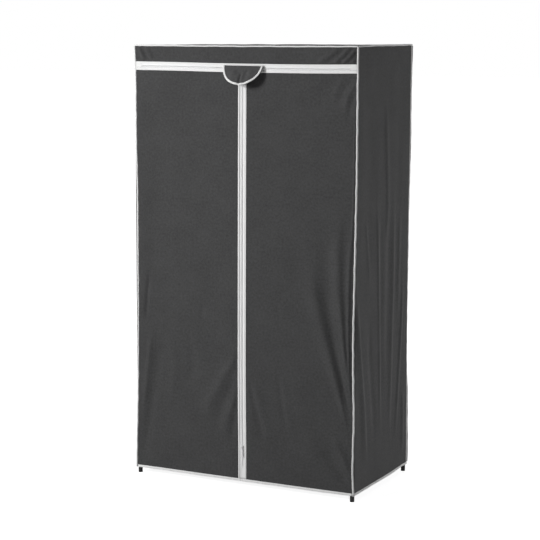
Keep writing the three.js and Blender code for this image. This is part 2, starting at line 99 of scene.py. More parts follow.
# How far each corner seam lies from straight: height in metres, then millimetres across and in depth.
SEAM_DRIFT = {
    "front_right": (
        (0.03, 0, 0), (0.084, -5, -0.8), (0.189, -4.2, -0.8), (0.294, -1.4, -0.4), (0.4, -4.2, -0.9),
        (0.504, -6.1, -1.2), (0.609, -6.8, -1.2), (0.714, -5, -1.0), (0.924, -2.2, -0.6),
        (1.133, 0.6, 0), (1.4, 1, 0), (1.59, 0.8, 0),
    ),
    "front_left": (
        (0.03, 0, 0), (0.14, 2, -0.2), (0.2, 5, -1.2), (0.31, 8.5, -2.4), (0.42, 10.5, -2.8), (0.65, 13, -3.2),
        (1.03, 13.5, -3.2), (1.13, 12, -2.8), (1.23, 9, -2.4), (1.36, 8, -1.8), (1.49, 7.5, -1.2),
        (1.56, 5, -0.6), (1.59, 2, 0),
    ),
    "back_right": (
        (0.03, 0, 0), (0.062, 1.5, 3), (0.193, -0.5, 0.5), (0.3, -0.5, -0.5), (0.418, -4.5, -6), (0.655, -5, -7),
        (0.84, -4, -6.5), (1.0, -4, -6), (1.14, -2.5, -3.5), (1.25, -1, -1.5), (1.36, -2, -2),
        (1.49, -1.5, -1), (1.59, 0, 0.5),
    ),
    "back_left": (
        (0.03, 0, 0), (0.3, 1.5, -1), (0.8, 3, -2.5), (1.3, 1, -1), (1.59, 0, 0),
    ),
}
# How far the middle zip lies to the right of straight: height in metres, then millimetres.
ZIP_DRIFT = (
    (0.03, 3), (0.09, 3.2), (0.165, 2.8), (0.31, 1), (0.455, 0), (0.885, 0.2), (1.17, 0.6), (1.31, 1), (1.52, 1.5),
)
# How far the band's zip and the front hem hang below straight: metres across, then millimetres.
BAND_SAG = (
    (-0.4468, -1), (-0.26, 0.2), (-0.115, 2.3), (0.125, 3.6), (0.225, 3.6), (0.345, 3), (0.42, 1.8), (0.4468, 1.4),
)
HEM_DROP = ((-0.4468, 4), (-0.26, 4), (0.22, 3.5), (0.38, 2.5), (0.4468, 2.5))
# How far the right side's hem hangs: metres behind the front seam, then millimetres.
SIDE_DROP = ((0.0, 2.5), (0.12, 3.8), (0.32, 3.6), (0.40, 1.5), (0.46, 0))

# Folds of the cloth: height in millimetres, outwards where positive, then places on the panel
# (across and up, in metres) with the fold's width there in millimetres. The number after the height
# is how much wider the fold is on its right.
RIGHT_DOOR_FOLDS = (
    (8.0, 0.5, (0.270, 0.860, 44), (0.284, 0.761, 38), (0.304, 0.670, 32), (0.336, 0.562, 27),
     (0.362, 0.481, 21), (0.386, 0.400, 16), (0.405, 0.333, 12), (0.422, 0.260, 8)),
    (-6.5, 1, (0.322, 0.930, 32), (0.332, 0.850, 30), (0.335, 0.786, 26), (0.338, 0.714, 20), (0.347, 0.642, 16),
     (0.363, 0.570, 13), (0.380, 0.498, 11), (0.400, 0.426, 9), (0.420, 0.354, 7), (0.434, 0.290, 5)),
    (9.0, 0.6, (0.384, 1.020, 24), (0.381, 0.960, 28), (0.380, 0.870, 29), (0.384, 0.765, 26),
     (0.395, 0.684, 21), (0.408, 0.577, 16), (0.420, 0.483, 11), (0.432, 0.400, 7)),
    (2.4, 0.5, (0.4380, 1.390, 3.5), (0.4375, 1.150, 3.5), (0.4365, 0.950, 4), (0.436, 0.800, 4)),
    (5.5, 0.6, (0.433, 1.000, 8), (0.430, 0.920, 9), (0.428, 0.850, 10), (0.427, 0.740, 11),
     (0.429, 0.620, 9), (0.432, 0.500, 7), (0.435, 0.360, 5)),
    (-3.6, 1, (0.031, 0.400, 9), (0.049, 0.320, 12), (0.074, 0.230, 14), (0.088, 0.160, 14)),
    (2.4, 1, (0.048, 0.400, 12), (0.078, 0.310, 16), (0.106, 0.210, 18)),
    (-2.2, 1, (0.146, 0.446, 7), (0.156, 0.350, 9), (0.172, 0.260, 11), (0.184, 0.210, 12)),
    (1.2, 1, (0.168, 0.420, 9), (0.182, 0.320, 11), (0.206, 0.230, 14)),
    (-1.6, 1, (0.143, 0.690, 8), (0.146, 0.602, 8)),
    (-6.0, 1, (0.324, 0.180, 24), (0.378, 0.120, 20), (0.433, 0.055, 12)),
    (5.0, 1, (0.362, 0.230, 16), (0.406, 0.164, 13), (0.435, 0.109, 9)),
    (-2.6, 1, (0.432, 1.499, 6), (0.397, 1.457, 8), (0.374, 1.405, 12)),
    (3.0, 1, (0.441, 1.478, 6), (0.414, 1.436, 8), (0.396, 1.380, 11)),
    (2.0, 1, (0.397, 1.505, 7), (0.372, 1.464, 9), (0.350, 1.415, 13)),
    (-2.2, 1, (0.439, 1.445, 6), (0.424, 1.405, 8), (0.412, 1.345, 10)),
    (0.5, 1, (0.030, 1.293, 8), (0.200, 1.299, 7), (0.420, 1.307, 8)),
    (0.45, 1, (0.030, 0.878, 9), (0.160, 0.882, 8), (0.280, 0.888, 9)),
)
LEFT_DOOR_FOLDS = (
    (7.0, 1, (-0.021, 0.492, 12), (-0.050, 0.442, 17), (-0.100, 0.360, 22), (-0.135, 0.300, 26),
     (-0.154, 0.240, 28)),
    (-3.0, 1, (-0.021, 0.410, 10), (-0.070, 0.320, 14), (-0.100, 0.250, 18), (-0.110, 0.190, 20)),
    (4.8, 1, (-0.021, 0.345, 10), (-0.053, 0.270, 14), (-0.076, 0.190, 18)),
    (-2.6, 1, (-0.021, 0.285, 8), (-0.036, 0.225, 10), (-0.046, 0.160, 12)),
    (0.5, 1, (-0.410, 1.279, 8), (-0.200, 1.290, 7), (-0.030, 1.297, 8)),
    (0.5, 1, (-0.400, 0.846, 9), (-0.220, 0.860, 8), (-0.040, 0.874, 9)),
    (-2.2, 1, (-0.160, 0.667, 7), (-0.173, 0.606, 8)),
    (-3.6, 1, (-0.391, 0.773, 9), (-0.404, 0.674, 10), (-0.413, 0.587, 10)),
    (-3.4, 1, (-0.326, 0.561, 22), (-0.362, 0.371, 22), (-0.398, 0.188, 18), (-0.417, 0.056, 14)),
    (4.0, 1, (-0.380, 0.555, 14), (-0.403, 0.367, 14), (-0.423, 0.235, 11)),
    (-2.6, 1, (-0.226, 0.558, 18), (-0.207, 0.456, 20), (-0.221, 0.351, 20)),
    (2.6, 1, (-0.300, 0.540, 16), (-0.280, 0.420, 18), (-0.300, 0.300, 20)),
)
BAND_FOLDS = (
    (6.0, 1, (0.292, 1.546, 9), (0.335, 1.566, 9), (0.386, 1.590, 7)),
    (9.0, 1, (0.355, 1.542, 9), (0.389, 1.566, 8), (0.421, 1.591, 6)),
    (9.0, 1, (0.388, 1.542, 8), (0.417, 1.564, 7), (0.442, 1.586, 5)),
    (5.4, 1, (0.418, 1.540, 6), (0.438, 1.556, 5)),
    (6.5, 1, (-0.430, 1.591, 6), (-0.414, 1.566, 7), (-0.404, 1.545, 8)),
    (4.5, 1, (-0.398, 1.590, 7), (-0.384, 1.570, 8), (-0.366, 1.550, 8)),
    (1.0, 1, (-0.390, 1.577, 5), (-0.330, 1.582, 5), (-0.270, 1.584, 5)),
)
SIDE_FOLDS = (
    (3.0, 2, (0.038, 1.420, 10), (0.045, 1.300, 10), (0.054, 1.172, 10), (0.062, 1.028, 9), (0.054, 0.900, 10)),
    (3.4, 1, (-0.034, 1.060, 8), (-0.028, 1.000, 7), (-0.015, 0.780, 7), (-0.003, 0.563, 7),
     (0.010, 0.345, 8), (0.020, 0.200, 10)),
    (-2.2, 2, (0.000, 1.080, 12), (0.004, 0.970, 11), (0.012, 0.700, 11), (0.024, 0.342, 12), (0.034, 0.200, 14)),
    (3.8, 0.5, (0.122, 1.080, 16), (0.124, 0.956, 18), (0.121, 0.706, 18), (0.113, 0.544, 18),
     (0.105, 0.271, 18), (0.105, 0.150, 18)),
    (3.8, 1, (0.212, 0.760, 8), (0.210, 0.661, 8), (0.198, 0.530, 8), (0.174, 0.313, 8), (0.158, 0.150, 9)),
    (2.4, 1.5, (0.176, 1.000, 9), (0.172, 0.800, 9), (0.166, 0.600, 9)),
    (6.0, 0.4, (-0.208, 0.740, 16), (-0.201, 0.669, 20), (-0.176, 0.508, 24), (-0.142, 0.332, 28),
     (-0.108, 0.111, 28)),
    (-2.6, 1, (-0.100, 0.640, 18), (-0.080, 0.481, 18), (-0.050, 0.312, 18), (-0.030, 0.167, 18)),
    (2.0, 1, (-0.134, 1.000, 9), (-0.112, 0.876, 9), (-0.094, 0.760, 9)),
    (3.0, 1, (0.222, 0.330, 8), (0.222, 0.159, 8), (0.219, 0.070, 8)),
    (-2.4, 1, (0.080, 1.000, 20), (0.078, 0.760, 22), (0.070, 0.420, 22)),
)
BACK_FOLDS = (
    (3.0, 1, (0.250, 0.300, 22), (0.230, 0.800, 18), (0.260, 1.300, 22)),
    (-3.2, 1, (0.060, 0.120, 24), (0.070, 0.700, 20), (0.040, 1.200, 24)),
    (3.4, 1, (-0.140, 0.200, 20), (-0.110, 0.750, 18), (-0.150, 1.380, 24)),
    (-3.0, 1, (-0.320, 0.080, 22), (-0.290, 0.600, 18), (-0.330, 1.150, 22)),
    (2.6, 1, (0.380, 0.100, 14), (0.360, 0.420, 18), (0.300, 0.700, 24)),
)

LINE_POINTS, LINE_BLUR = 341, 25
HEIGHT_RANGE, WIDTH_RANGE = (0.0, 1.7), (-0.5, 0.5)
WAVER, WAVER_FADE = 0.3 * MM, 0.06
NOISE_CELLS = 64
FOLD_END, FOLD_START_SHARE = 0.3, 0.15


# Number helpers. All of them take and give arrays.
def smooth(value):
    t = np.clip(value, 0, 1)
    return t * t * (3 - 2 * t)


def soft_line(places, knots, column=1, reach=HEIGHT_RANGE):
    """A line through the knots' values, rounded off over its bends."""
    fine = np.linspace(*reach, LINE_POINTS)
    raw = np.interp(fine, [k[0] for k in knots], [k[column] * MM for k in knots])
    window = np.hanning(LINE_BLUR)
    window /= window.sum()
    padded = np.pad(raw, LINE_BLUR // 2, mode="edge")
    return np.interp(places, fine, np.convolve(padded, window, "valid"))


def drift(corner, z):
    """How far a corner seam lies from its straight line at each height."""
    knots = SEAM_DRIFT[corner]
    phase = CORNERS.index(corner) * 2.1
    waver = WAVER * (np.sin(z * 71 + phase) + 0.7 * np.sin(z * 137 + 2 * phase))
    waver = waver * smooth((z - HEM_HEAD) / WAVER_FADE) * smooth((TOP_Z - z) / WAVER_FADE)
    return soft_line(z, knots, 1) + waver, soft_line(z, knots, 2) + 0.4 * waver


def run_along(path):
    """The length of a path from its start to each of its points."""
    return np.concatenate([[0], np.cumsum(np.linalg.norm(np.diff(path, axis=0), axis=1))])


def value_noise(u, v, cell_u, cell_v, seed):
    """Smooth noise from -1 to 1 on a lattice of cells that are cell_u wide and cell_v high."""
    lattice = np.random.default_rng(seed).uniform(-1, 1, (NOISE_CELLS, NOISE_CELLS))
    a, b = u / cell_u, v / cell_v
    i, j = np.floor(a).astype(int), np.floor(b).astype(int)
    s, t = smooth(a - i), smooth(b - j)

    def at(p, q):
        return lattice[(i + p) % NOISE_CELLS, (j + q) % NOISE_CELLS]

    return (at(0, 0) * (1 - s) + at(1, 0) * s) * (1 - t) + (at(0, 1) * (1 - s) + at(1, 1) * s) * t


def waves(u, v, *layers):
    """Noise of several sizes added up. A layer is its height in millimetres, its two cells and its seed."""
    return sum(height * MM * value_noise(u, v, *layer) for height, *layer in layers)


def fold_height(u, v, folds):
    """The height of all folds at each place on a panel."""
    total = np.zeros_like(u)
    for height, skew, *path in folds:
        path = np.array(path, float)
        steps = np.linalg.norm(np.diff(path[:, :2], axis=0), axis=1)
        length = steps.sum()
        best = np.full_like(u, np.inf)
        width = np.ones_like(u)
        along = np.zeros_like(u)
        hand = np.zeros_like(u)
        gone = 0.0
        for (ax, ay, aw), (bx, by, bw), step in zip(path[:-1], path[1:], steps):
            t = np.clip(((u - ax) * (bx - ax) + (v - ay) * (by - ay)) / step**2, 0, 1)
            away = np.hypot(u - ax - t * (bx - ax), v - ay - t * (by - ay))
            nearer = away < best
            best = np.where(nearer, away, best)
            width = np.where(nearer, aw + t * (bw - aw), width)
            along = np.where(nearer, (gone + t * step) / length, along)
            aside = ((bx - ax) * (v - ay) - (by - ay) * (u - ax)) / (step * 3 * MM)
            hand = np.where(nearer, aside, hand)
            gone += step
        start, end = along / FOLD_END + FOLD_START_SHARE, (1 - along) / FOLD_END + FOLD_START_SHARE
        width = width * MM * (1 + (skew - 1) * smooth(hand / 2 + 0.5))
        total += height * MM * (smooth(start) * smooth(end)) * np.exp(-((best / width) ** 2))
    return total


# Where a place on the cover lies once the seams' bows and the folds are in. These are metres.
SEAM_REACH, CORNER_ROUND = 0.09, 0.0035
HEM_ZONE, HEM_ZONE_FADE = 0.26, 0.2
HOLLOW_REACH, HOLLOW_FOOT, HOLLOW_RISE = 0.14, 0.05, 0.2
BINDING_FADE = 0.05
RAIL_ZONE, RAIL_FADE = 0.062, 0.014
POST_ZONE, POST_FADE = 0.032, 0.01
OPEN_DEPTH, FRAME_DEPTH = 9 * MM, 2.2 * MM
# Where on the noise each panel starts, so that no two look alike.
FRONT_NOISE, SIDE_NOISE, BACK_NOISE, TOP_NOISE = 3, 5, 7, 9


def zip_bow(z):
    return soft_line(z, ZIP_DRIFT)


def band_sag(x):
    return soft_line(x, BAND_SAG, reach=WIDTH_RANGE)


def near_hem(z):
    """A share that is 1 at the hem and 0 where the cloth above it hangs straight."""
    return smooth((HEM_ZONE - z) / HEM_ZONE_FADE)


def hang(x, z):
    """How far the front cloth hangs below its straight place, at the band's zip and at the hem."""
    zip_zone, zip_fade, head_fade = 1.33, 0.15, 0.05
    at_band = smooth((z - zip_zone) / zip_fade) * smooth((PANEL_HEAD - z) / head_fade)
    return band_sag(x) * at_band + soft_line(x, HEM_DROP, reach=WIDTH_RANGE) * near_hem(z)


def clear_of_frame(lift, near_post, z):
    """Limits how far cloth falls inwards, most where a post or a bottom rail is close behind it."""
    near = np.clip(near_post + smooth((RAIL_ZONE - z) / RAIL_FADE), 0, 1)
    return np.maximum(lift, -(OPEN_DEPTH + (FRAME_DEPTH - OPEN_DEPTH) * near))


def front_lift(x, z):
    """How far the cloth of the doors stands out from the flat front."""
    seam_fade, zip_half, zip_fade, head_gap, head_fade = 0.009, 0.0158, 0.02, 0.0105, 0.02
    head_hollow, post_gap, post_fade = 0.16, 0.024, 0.014
    low_zone, low_fade, left_hollow, right_hollow = 0.7, 0.5, 4, 1.5
    from_zip, from_seam = np.abs(x), SIDE_X - np.abs(x)
    folds = fold_height(x, z, RIGHT_DOOR_FOLDS) + fold_height(x, z, LEFT_DOOR_FOLDS)
    soft = waves(x + FRONT_NOISE, z, (0.9, 0.11, 0.34, 5), (0.35, 0.043, 0.12, 8))
    low = waves(x + FRONT_NOISE, z, (0.8, 0.06, 0.5, 13)) * smooth((low_zone - z) / low_fade)
    hollow = np.where(x > 0, right_hollow, left_hollow) * MM * smooth(from_seam / HOLLOW_REACH)
    hollow = hollow * smooth((from_zip - 0.016) / HOLLOW_REACH)
    hollow = hollow * smooth((z - HOLLOW_FOOT) / HOLLOW_RISE) * smooth((DOOR_HEAD - z) / head_hollow)
    at_seam = smooth((from_seam - PIPING_RADIUS) / seam_fade)
    at_zip = smooth((from_zip - zip_half) / zip_fade)
    at_binding = 0.25 + 0.75 * smooth((z - HEM_HEAD) / BINDING_FADE)
    at_head = smooth((DOOR_TAPE_HEAD - head_gap - z) / head_fade)
    lift = (folds + soft + low - hollow) * at_seam * at_zip * at_binding * at_head
    return clear_of_frame(lift, smooth((from_zip - (POST_X - post_gap)) / post_fade), z)


def front_place(x, z, out=0.0):
    zip_reach = 0.12
    right = smooth(1 - (SIDE_X - x) / SEAM_REACH)
    left = smooth(1 - (x + SIDE_X) / SEAM_REACH)
    right_x, right_y = drift("front_right", z)
    left_x, left_y = drift("front_left", z)
    bow = zip_bow(z) * smooth(1 - np.abs(x) / zip_reach)
    place_x = x + right * right_x + left * left_x + bow
    place_y = FRONT_Y + right * right_y + left * left_y - out
    return np.stack(np.broadcast_arrays(place_x, place_y, z - hang(x, z)), -1)


def panel_lift(folds, edge, z, depth, head_fade):
    """Settles a side or back panel's folds at its seams, hem and head, over a shallow hollow."""
    seam_fade = 0.018
    hollow = depth * smooth(edge / HOLLOW_REACH) * smooth((z - HOLLOW_FOOT) / HOLLOW_RISE)
    hollow = hollow * smooth((PANEL_HEAD - z) / HOLLOW_RISE)
    lift = (folds - hollow) * smooth((edge - PIPING_RADIUS) / seam_fade)
    lift = lift * (0.2 + 0.8 * smooth((z - HEM_HEAD) / BINDING_FADE)) * smooth((PANEL_HEAD - z) / head_fade)
    return clear_of_frame(lift, smooth((POST_ZONE - edge) / POST_FADE), z)


def side_lift(y, z, side):
    """How far the cloth of a side panel stands out. The left panel's folds run the other way."""
    along = y if side > 0 else 2 * MIDDLE_Y - y
    soft = waves(y + SIDE_NOISE, z, (0.9, 0.07, 0.4, 21 + side), (0.3, 0.03, 0.15, 31 + side))
    edge = np.minimum(y - FRONT_Y, BACK_Y - y)
    return panel_lift(fold_height(along, z, SIDE_FOLDS) + soft, edge, z, 3.5 * MM, 0.08)


def side_hang(from_front, z, side):
    """The side's hem meets the front's at the corner and comes up to its own level behind it."""
    left_reach = 0.35
    left = HEM_DROP[0][1] * MM * smooth(1 - from_front / left_reach)
    right = soft_line(from_front, SIDE_DROP, reach=(-0.05, 0.5))
    return np.where(side < 0, left, right) * near_hem(z)


def side_place(y, z, side, out=0.0):
    names = ("front_right", "back_right") if side > 0 else ("front_left", "back_left")
    (fx, fy), (bx, by) = (drift(name, z) for name in names)
    from_front, from_back = y - FRONT_Y, BACK_Y - y
    bow = fx * np.exp(-from_front / CORNER_ROUND)
    place_x = side * (SIDE_X + out) + bow + bx * np.exp(-from_back / CORNER_ROUND)
    place_y = y + fy * smooth(1 - from_front / SEAM_REACH) + by * smooth(1 - from_back / SEAM_REACH)
    level = z - side_hang(from_front, z, side)
    return np.stack(np.broadcast_arrays(place_x, place_y, level), -1)


def back_lift(x, z):
    soft = waves(x + BACK_NOISE, z, (1.0, 0.10, 0.4, 41), (0.3, 0.04, 0.15, 43))
    return panel_lift(fold_height(x, z, BACK_FOLDS) + soft, SIDE_X - np.abs(x), z, 4 * MM, 0.05)


def back_place(x, z, out=0.0):
    (lx, ly), (rx, ry) = drift("back_left", z), drift("back_right", z)
    from_left, from_right = x + SIDE_X, SIDE_X - x
    place_x = x + lx * smooth(1 - from_left / SEAM_REACH) + rx * smooth(1 - from_right / SEAM_REACH)
    place_y = BACK_Y + out + ly * np.exp(-from_left / CORNER_ROUND) + ry * np.exp(-from_right / CORNER_ROUND)
    return np.stack(np.broadcast_arrays(place_x, place_y, z), -1)


EDGE_SAG, EDGE_LIFT, EDGE_RISE, EDGE_TUCK = 1.6 * MM, 3.2 * MM, 5 * MM, 1.5 * MM
EDGE_RIPPLE, SIDE_FROM, SIDE_FADE, RISE_REACH = 31, 0.38, 0.06, 0.35
TOP_PIPING_RADIUS = 2.5 * MM


def top_edge_sag(x, y):
    """How far the top edge hangs below level. It stands highest at the back right corner."""
    across = EDGE_SAG * (1 - (x / SIDE_X) ** 2) * (0.8 + 0.2 * np.cos(x * EDGE_RIPPLE))
    deep = 0.5 * EDGE_SAG * (1 - ((y - MIDDLE_Y) / HALF_DEPTH) ** 2)
    on_side = smooth((np.abs(x) - SIDE_FROM) / SIDE_FADE)
    depth = (y - FRONT_Y) / (BACK_Y - FRONT_Y)
    rise = EDGE_RISE * (0.5 + 0.5 * x / SIDE_X) * (0.5 * smooth(depth / RISE_REACH) + 0.5 * depth)
    return np.maximum(across * (1 - on_side), 0) + np.maximum(deep * on_side, 0) - EDGE_LIFT - rise


# Mesh helpers.
class Shape:
    """Points and faces gathered for one piece, with the material index and surface place of each."""

    def __init__(self):
        self.points, self.faces, self.marks, self.places = [], [], [], []
        self.count = 0

    def add(self, points, faces, mark=0, places=None):
        """Adds points and faces. mark is one material index for all faces, or a list with one for each."""
        points = np.asarray(points, float).reshape(-1, 3)
        places = np.zeros((len(points), 2)) if places is None else np.asarray(places, float).reshape(-1, 2)
        self.points.append(points)
        self.places.append(places)
        self.faces += [[int(i) + self.count for i in face] for face in faces]
        self.marks += mark if isinstance(mark, list) else [mark] * len(faces)
        self.count += len(points)
        return self

    def mesh(self, name):
        points = np.concatenate(self.points)
        places = np.concatenate(self.places)
        mesh = bpy.data.meshes.new(name)
        mesh.from_pydata(points.tolist(), [], self.faces)
        layer = mesh.uv_layers.new(name="surface")
        corners = np.zeros(len(mesh.loops), np.int32)
        mesh.loops.foreach_get("vertex_index", corners)
        layer.data.foreach_set("uv", places[corners].astype(np.float32).ravel())
        mesh.polygons.foreach_set("material_index", self.marks)
        mesh.polygons.foreach_set("use_smooth", [True] * len(mesh.polygons))
        mesh.update()
        mesh.validate()
        return mesh


def grid_faces(rows, columns, close_rows=False, close_columns=False):
    i = np.arange(rows if close_rows else rows - 1)[:, None]
    j = np.arange(columns if close_columns else columns - 1)[None, :]
    a = i * columns + j
    b = i * columns + (j + 1) % columns
    c = ((i + 1) % rows) * columns + (j + 1) % columns
    d = ((i + 1) % rows) * columns + j
    return np.stack(np.broadcast_arrays(a, b, c, d), -1).reshape(-1, 4)


def end_caps(count, sides):
    """The faces that close the first and the last of a row of rings."""
    return [list(range(sides))[::-1], [(count - 1) * sides + k for k in range(sides)]]


def repeated(faces, copies, size):
    """The faces of one small form, again for each copy of it, where each copy has size points."""
    faces = np.asarray(faces)
    every = np.arange(copies)[:, None, None] * size
    return (faces[None] + every).reshape(-1, faces.shape[1])


def spread_places(across, along):
    return np.stack(np.broadcast_arrays(across[None, :], along[:, None]), -1)


def add_sweep(shape, rings, closed_path=False, flip=False):
    """Adds a surface through rings of points, an array of (ring, point, 3)."""
    rings = np.asarray(rings, float)
    count, sides = rings.shape[:2]
    faces = grid_faces(count, sides, close_rows=closed_path, close_columns=True).tolist()
    if not closed_path:
        faces += end_caps(count, sides)
    if flip:
        faces = [face[::-1] for face in faces]
    return shape.add(rings, faces, 0, spread_places(run_along(rings[0]), run_along(rings.mean(axis=1))))


def frames_along(path, closed, up):
    """Two unit directions across a path at each of its points."""
    if closed:
        tangent = np.roll(path, -1, axis=0) - np.roll(path, 1, axis=0)
    else:
        tangent = np.gradient(path, axis=0)
    tangent /= np.linalg.norm(tangent, axis=1)[:, None]
    side = np.cross(tangent, np.array(up, float))
    side /= np.linalg.norm(side, axis=1)[:, None]
    return side, np.cross(side, tangent)


def add_tube(shape, path, radius, sides=14, closed=False, up=(0, 0, 1), squash=1.0):
    """Adds a round bar along a path. squash makes it flatter across its second direction."""
    path = np.asarray(path, float)
    side, top = frames_along(path, closed, up)
    angles = np.linspace(0, 2 * np.pi, sides, endpoint=False)
    radius = np.broadcast_to(radius, len(path))[:, None, None]
    ring = np.cos(angles)[None, :, None] * side[:, None, :]
    ring = ring + squash * np.sin(angles)[None, :, None] * top[:, None, :]
    return add_sweep(shape, path[:, None, :] + radius * ring, closed_path=closed, flip=True)


THREAD_LENGTH, THREAD_RADIUS = 2.5 * MM, 0.28 * MM
STITCH_RING = np.array([(math.cos(a), math.sin(a)) for a in np.linspace(0, 2 * math.pi, 6, endpoint=False)])
# Along a stitch, as a share of its length, and its thickness there. Its ends dip into the cloth.
STITCH_STEPS = ((-0.5, 0.35), (-0.36, 0.9), (0.36, 0.9), (0.5, 0.35))
STITCH_DIP_FROM, STITCH_DIP = 0.4, 0.7


def add_stitches(shape, path, normals, pitch, mark=1):
    """Adds a row of stitches along a path, each a short thread that lies on the surface."""
    path = np.asarray(path, float)
    normals = np.broadcast_to(np.asarray(normals, float), path.shape)
    run = run_along(path)
    spots = np.arange(pitch, run[-1] - pitch / 2, pitch)

    def along_path(values, at):
        return np.stack([np.interp(at, run, values[:, k]) for k in range(3)], -1)

    at, normal = along_path(path, spots), along_path(normals, spots)
    along = along_path(path, spots + pitch / 4) - at
    along /= np.linalg.norm(along, axis=1)[:, None]
    normal /= np.linalg.norm(normal, axis=1)[:, None]
    across = np.cross(along, normal)
    points = []
    for step, size in STITCH_STEPS:
        dip = (abs(step) > STITCH_DIP_FROM) * THREAD_RADIUS * STITCH_DIP
        for c, s in STITCH_RING:
            lift = THREAD_RADIUS * size * s - dip
            points.append(at + along * step * THREAD_LENGTH + across * (THREAD_RADIUS * size * c) + normal * lift)
    count, sides = len(STITCH_STEPS), len(STITCH_RING)
    quads = repeated(grid_faces(count, sides, close_columns=True), len(spots), count * sides)
    caps = repeated(end_caps(count, sides), len(spots), count * sides)
    return shape.add(np.stack(points, 1), quads.tolist() + caps.tolist(), mark)


def add_lathe(shape, profile, origin, axis, sides):
    """Adds a closed profile of (radius, height) turned about an axis through origin."""
    profile = np.asarray(profile, float)
    angles = np.linspace(0, 2 * np.pi, sides, endpoint=False)
    r, h = profile[:, 0][:, None], profile[:, 1][:, None]
    a, b = r * np.cos(angles), r * np.sin(angles)
    h = np.broadcast_to(h, a.shape)
    order = {"z": (a, b, h), "x": (h, a, b), "y": (b, h, a)}[axis]
    points = np.stack(order, -1) + np.array(origin, float)
    faces = grid_faces(len(profile), sides, close_rows=True, close_columns=True)[:, ::-1].tolist()
    return shape.add(points, faces)


def finish_piece(shape, name, body, materials, nodes):
    """Makes the piece, gives it its finish, and sets it in place of its CAD nodes."""
    mesh = shape.mesh(name)
    piece = bpy.data.objects.new(name, mesh)
    bpy.context.scene.collection.objects.link(piece)
    for material in materials:
        mesh.materials.append(bpy.data.materials[material])
    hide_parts(*nodes)
    if body:
        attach(piece, body)
    return piece


def finish_cloth(shape, name, body, node, thickness, material="cover_cloth"):
    """Makes a cloth piece and gives it its thickness, inwards from its outer face."""
    piece = finish_piece(shape, name, body, [material], [node])
    solid = piece.modifiers.new("thickness", "SOLIDIFY")
    solid.thickness = thickness
    solid.offset = -1
    solid.use_even_offset = False
    return piece


def stops(low, high, step, *edge_steps):
    """Even stops from low to high, with closer ones near both ends."""
    closest = 0.4 * MM
    even = np.linspace(low, high, max(2, round((high - low) / step) + 1))
    close = [low + e for e in edge_steps] + [high - e for e in edge_steps]
    every = np.sort(np.concatenate([even, close]))
    keep = [every[0]]
    for value in every[1:]:
        if value - keep[-1] > closest:
            keep.append(value)
    keep[-1] = high
    return np.array(keep)


def sheet_shape(columns, rows, place):
    """A cloth sheet whose outer face is place(across, up). Descending columns turn it round."""
    u, v = np.meshgrid(columns, rows)
    faces = grid_faces(len(rows), len(columns)).tolist()
    return Shape().add(place(u, v), faces, 0, np.stack([u, v], -1))


# Shared effects, as node groups.
def new_group(name, inputs, outputs):
    group = bpy.data.node_groups.new(name, "ShaderNodeTree")
    for label, kind, value in inputs:
        socket = group.interface.new_socket(label, in_out="INPUT", socket_type=f"NodeSocket{kind}")
        if value is not None:
            socket.default_value = value
    for label in outputs:
        group.interface.new_socket(label, in_out="OUTPUT", socket_type="NodeSocketFloat")
    return group, group.nodes.new("NodeGroupInput"), group.nodes.new("NodeGroupOutput")


def maths(tree, operation, *values, clamp=False):
    node = tree.nodes.new("ShaderNodeMath")
    node.operation = operation
    node.use_clamp = clamp
    for socket, value in zip(node.inputs, values):
        if isinstance(value, bpy.types.NodeSocket):
            tree.links.new(value, socket)
        else:
            socket.default_value = value
    return node.outputs[0]


def noise(tree, vector, scale, detail=3.0, roughness=0.55):
    node = tree.nodes.new("ShaderNodeTexNoise")
    node.inputs["Detail"].default_value = detail
    node.inputs["Roughness"].default_value = roughness
    tree.links.new(vector, node.inputs["Vector"])
    if isinstance(scale, bpy.types.NodeSocket):
        tree.links.new(scale, node.inputs["Scale"])
    else:
        node.inputs["Scale"].default_value = scale
    return node.outputs["Fac"]


def make_weave_group():
    """Plain weave: over-and-under threads, as a height and as a mask of the gaps between them."""
    waver_scale, upper_share, lower_share = 90.0, 0.7, 0.3
    tree, given, out = new_group(
        "plain_weave",
        [("Coordinate", "Vector", None), ("Threads", "Float", 900.0), ("Slub", "Float", 0.4)],
        ["Height", "Gaps"],
    )
    parts = tree.nodes.new("ShaderNodeSeparateXYZ")
    tree.links.new(given.outputs["Coordinate"], parts.inputs[0])
    waver = noise(tree, given.outputs["Coordinate"], waver_scale, 2.0)
    waver = maths(tree, "MULTIPLY", waver, given.outputs["Slub"])
    at, threads = [], []
    for axis in ("X", "Y"):
        place = maths(tree, "MULTIPLY", parts.outputs[axis], given.outputs["Threads"])
        at.append(maths(tree, "ADD", place, waver))
        wave = maths(tree, "SINE", maths(tree, "MULTIPLY", at[-1], math.pi))
        threads.append(maths(tree, "ABSOLUTE", wave))
    turn = maths(tree, "ADD", maths(tree, "FLOOR", at[0]), maths(tree, "FLOOR", at[1]))
    over = maths(tree, "GREATER_THAN", maths(tree, "FRACT", maths(tree, "MULTIPLY", turn, 0.5)), 0.25)
    under = maths(tree, "SUBTRACT", 1.0, over)
    warp, weft = maths(tree, "MULTIPLY", threads[0], over), maths(tree, "MULTIPLY", threads[1], under)
    upper = maths(tree, "MULTIPLY", maths(tree, "ADD", warp, weft), upper_share)
    lower = maths(tree, "MULTIPLY", maths(tree, "MULTIPLY", *threads), lower_share)
    height = maths(tree, "ADD", upper, lower)
    tree.links.new(height, out.inputs["Height"])
    tree.links.new(maths(tree, "SUBTRACT", 1.0, height), out.inputs["Gaps"])


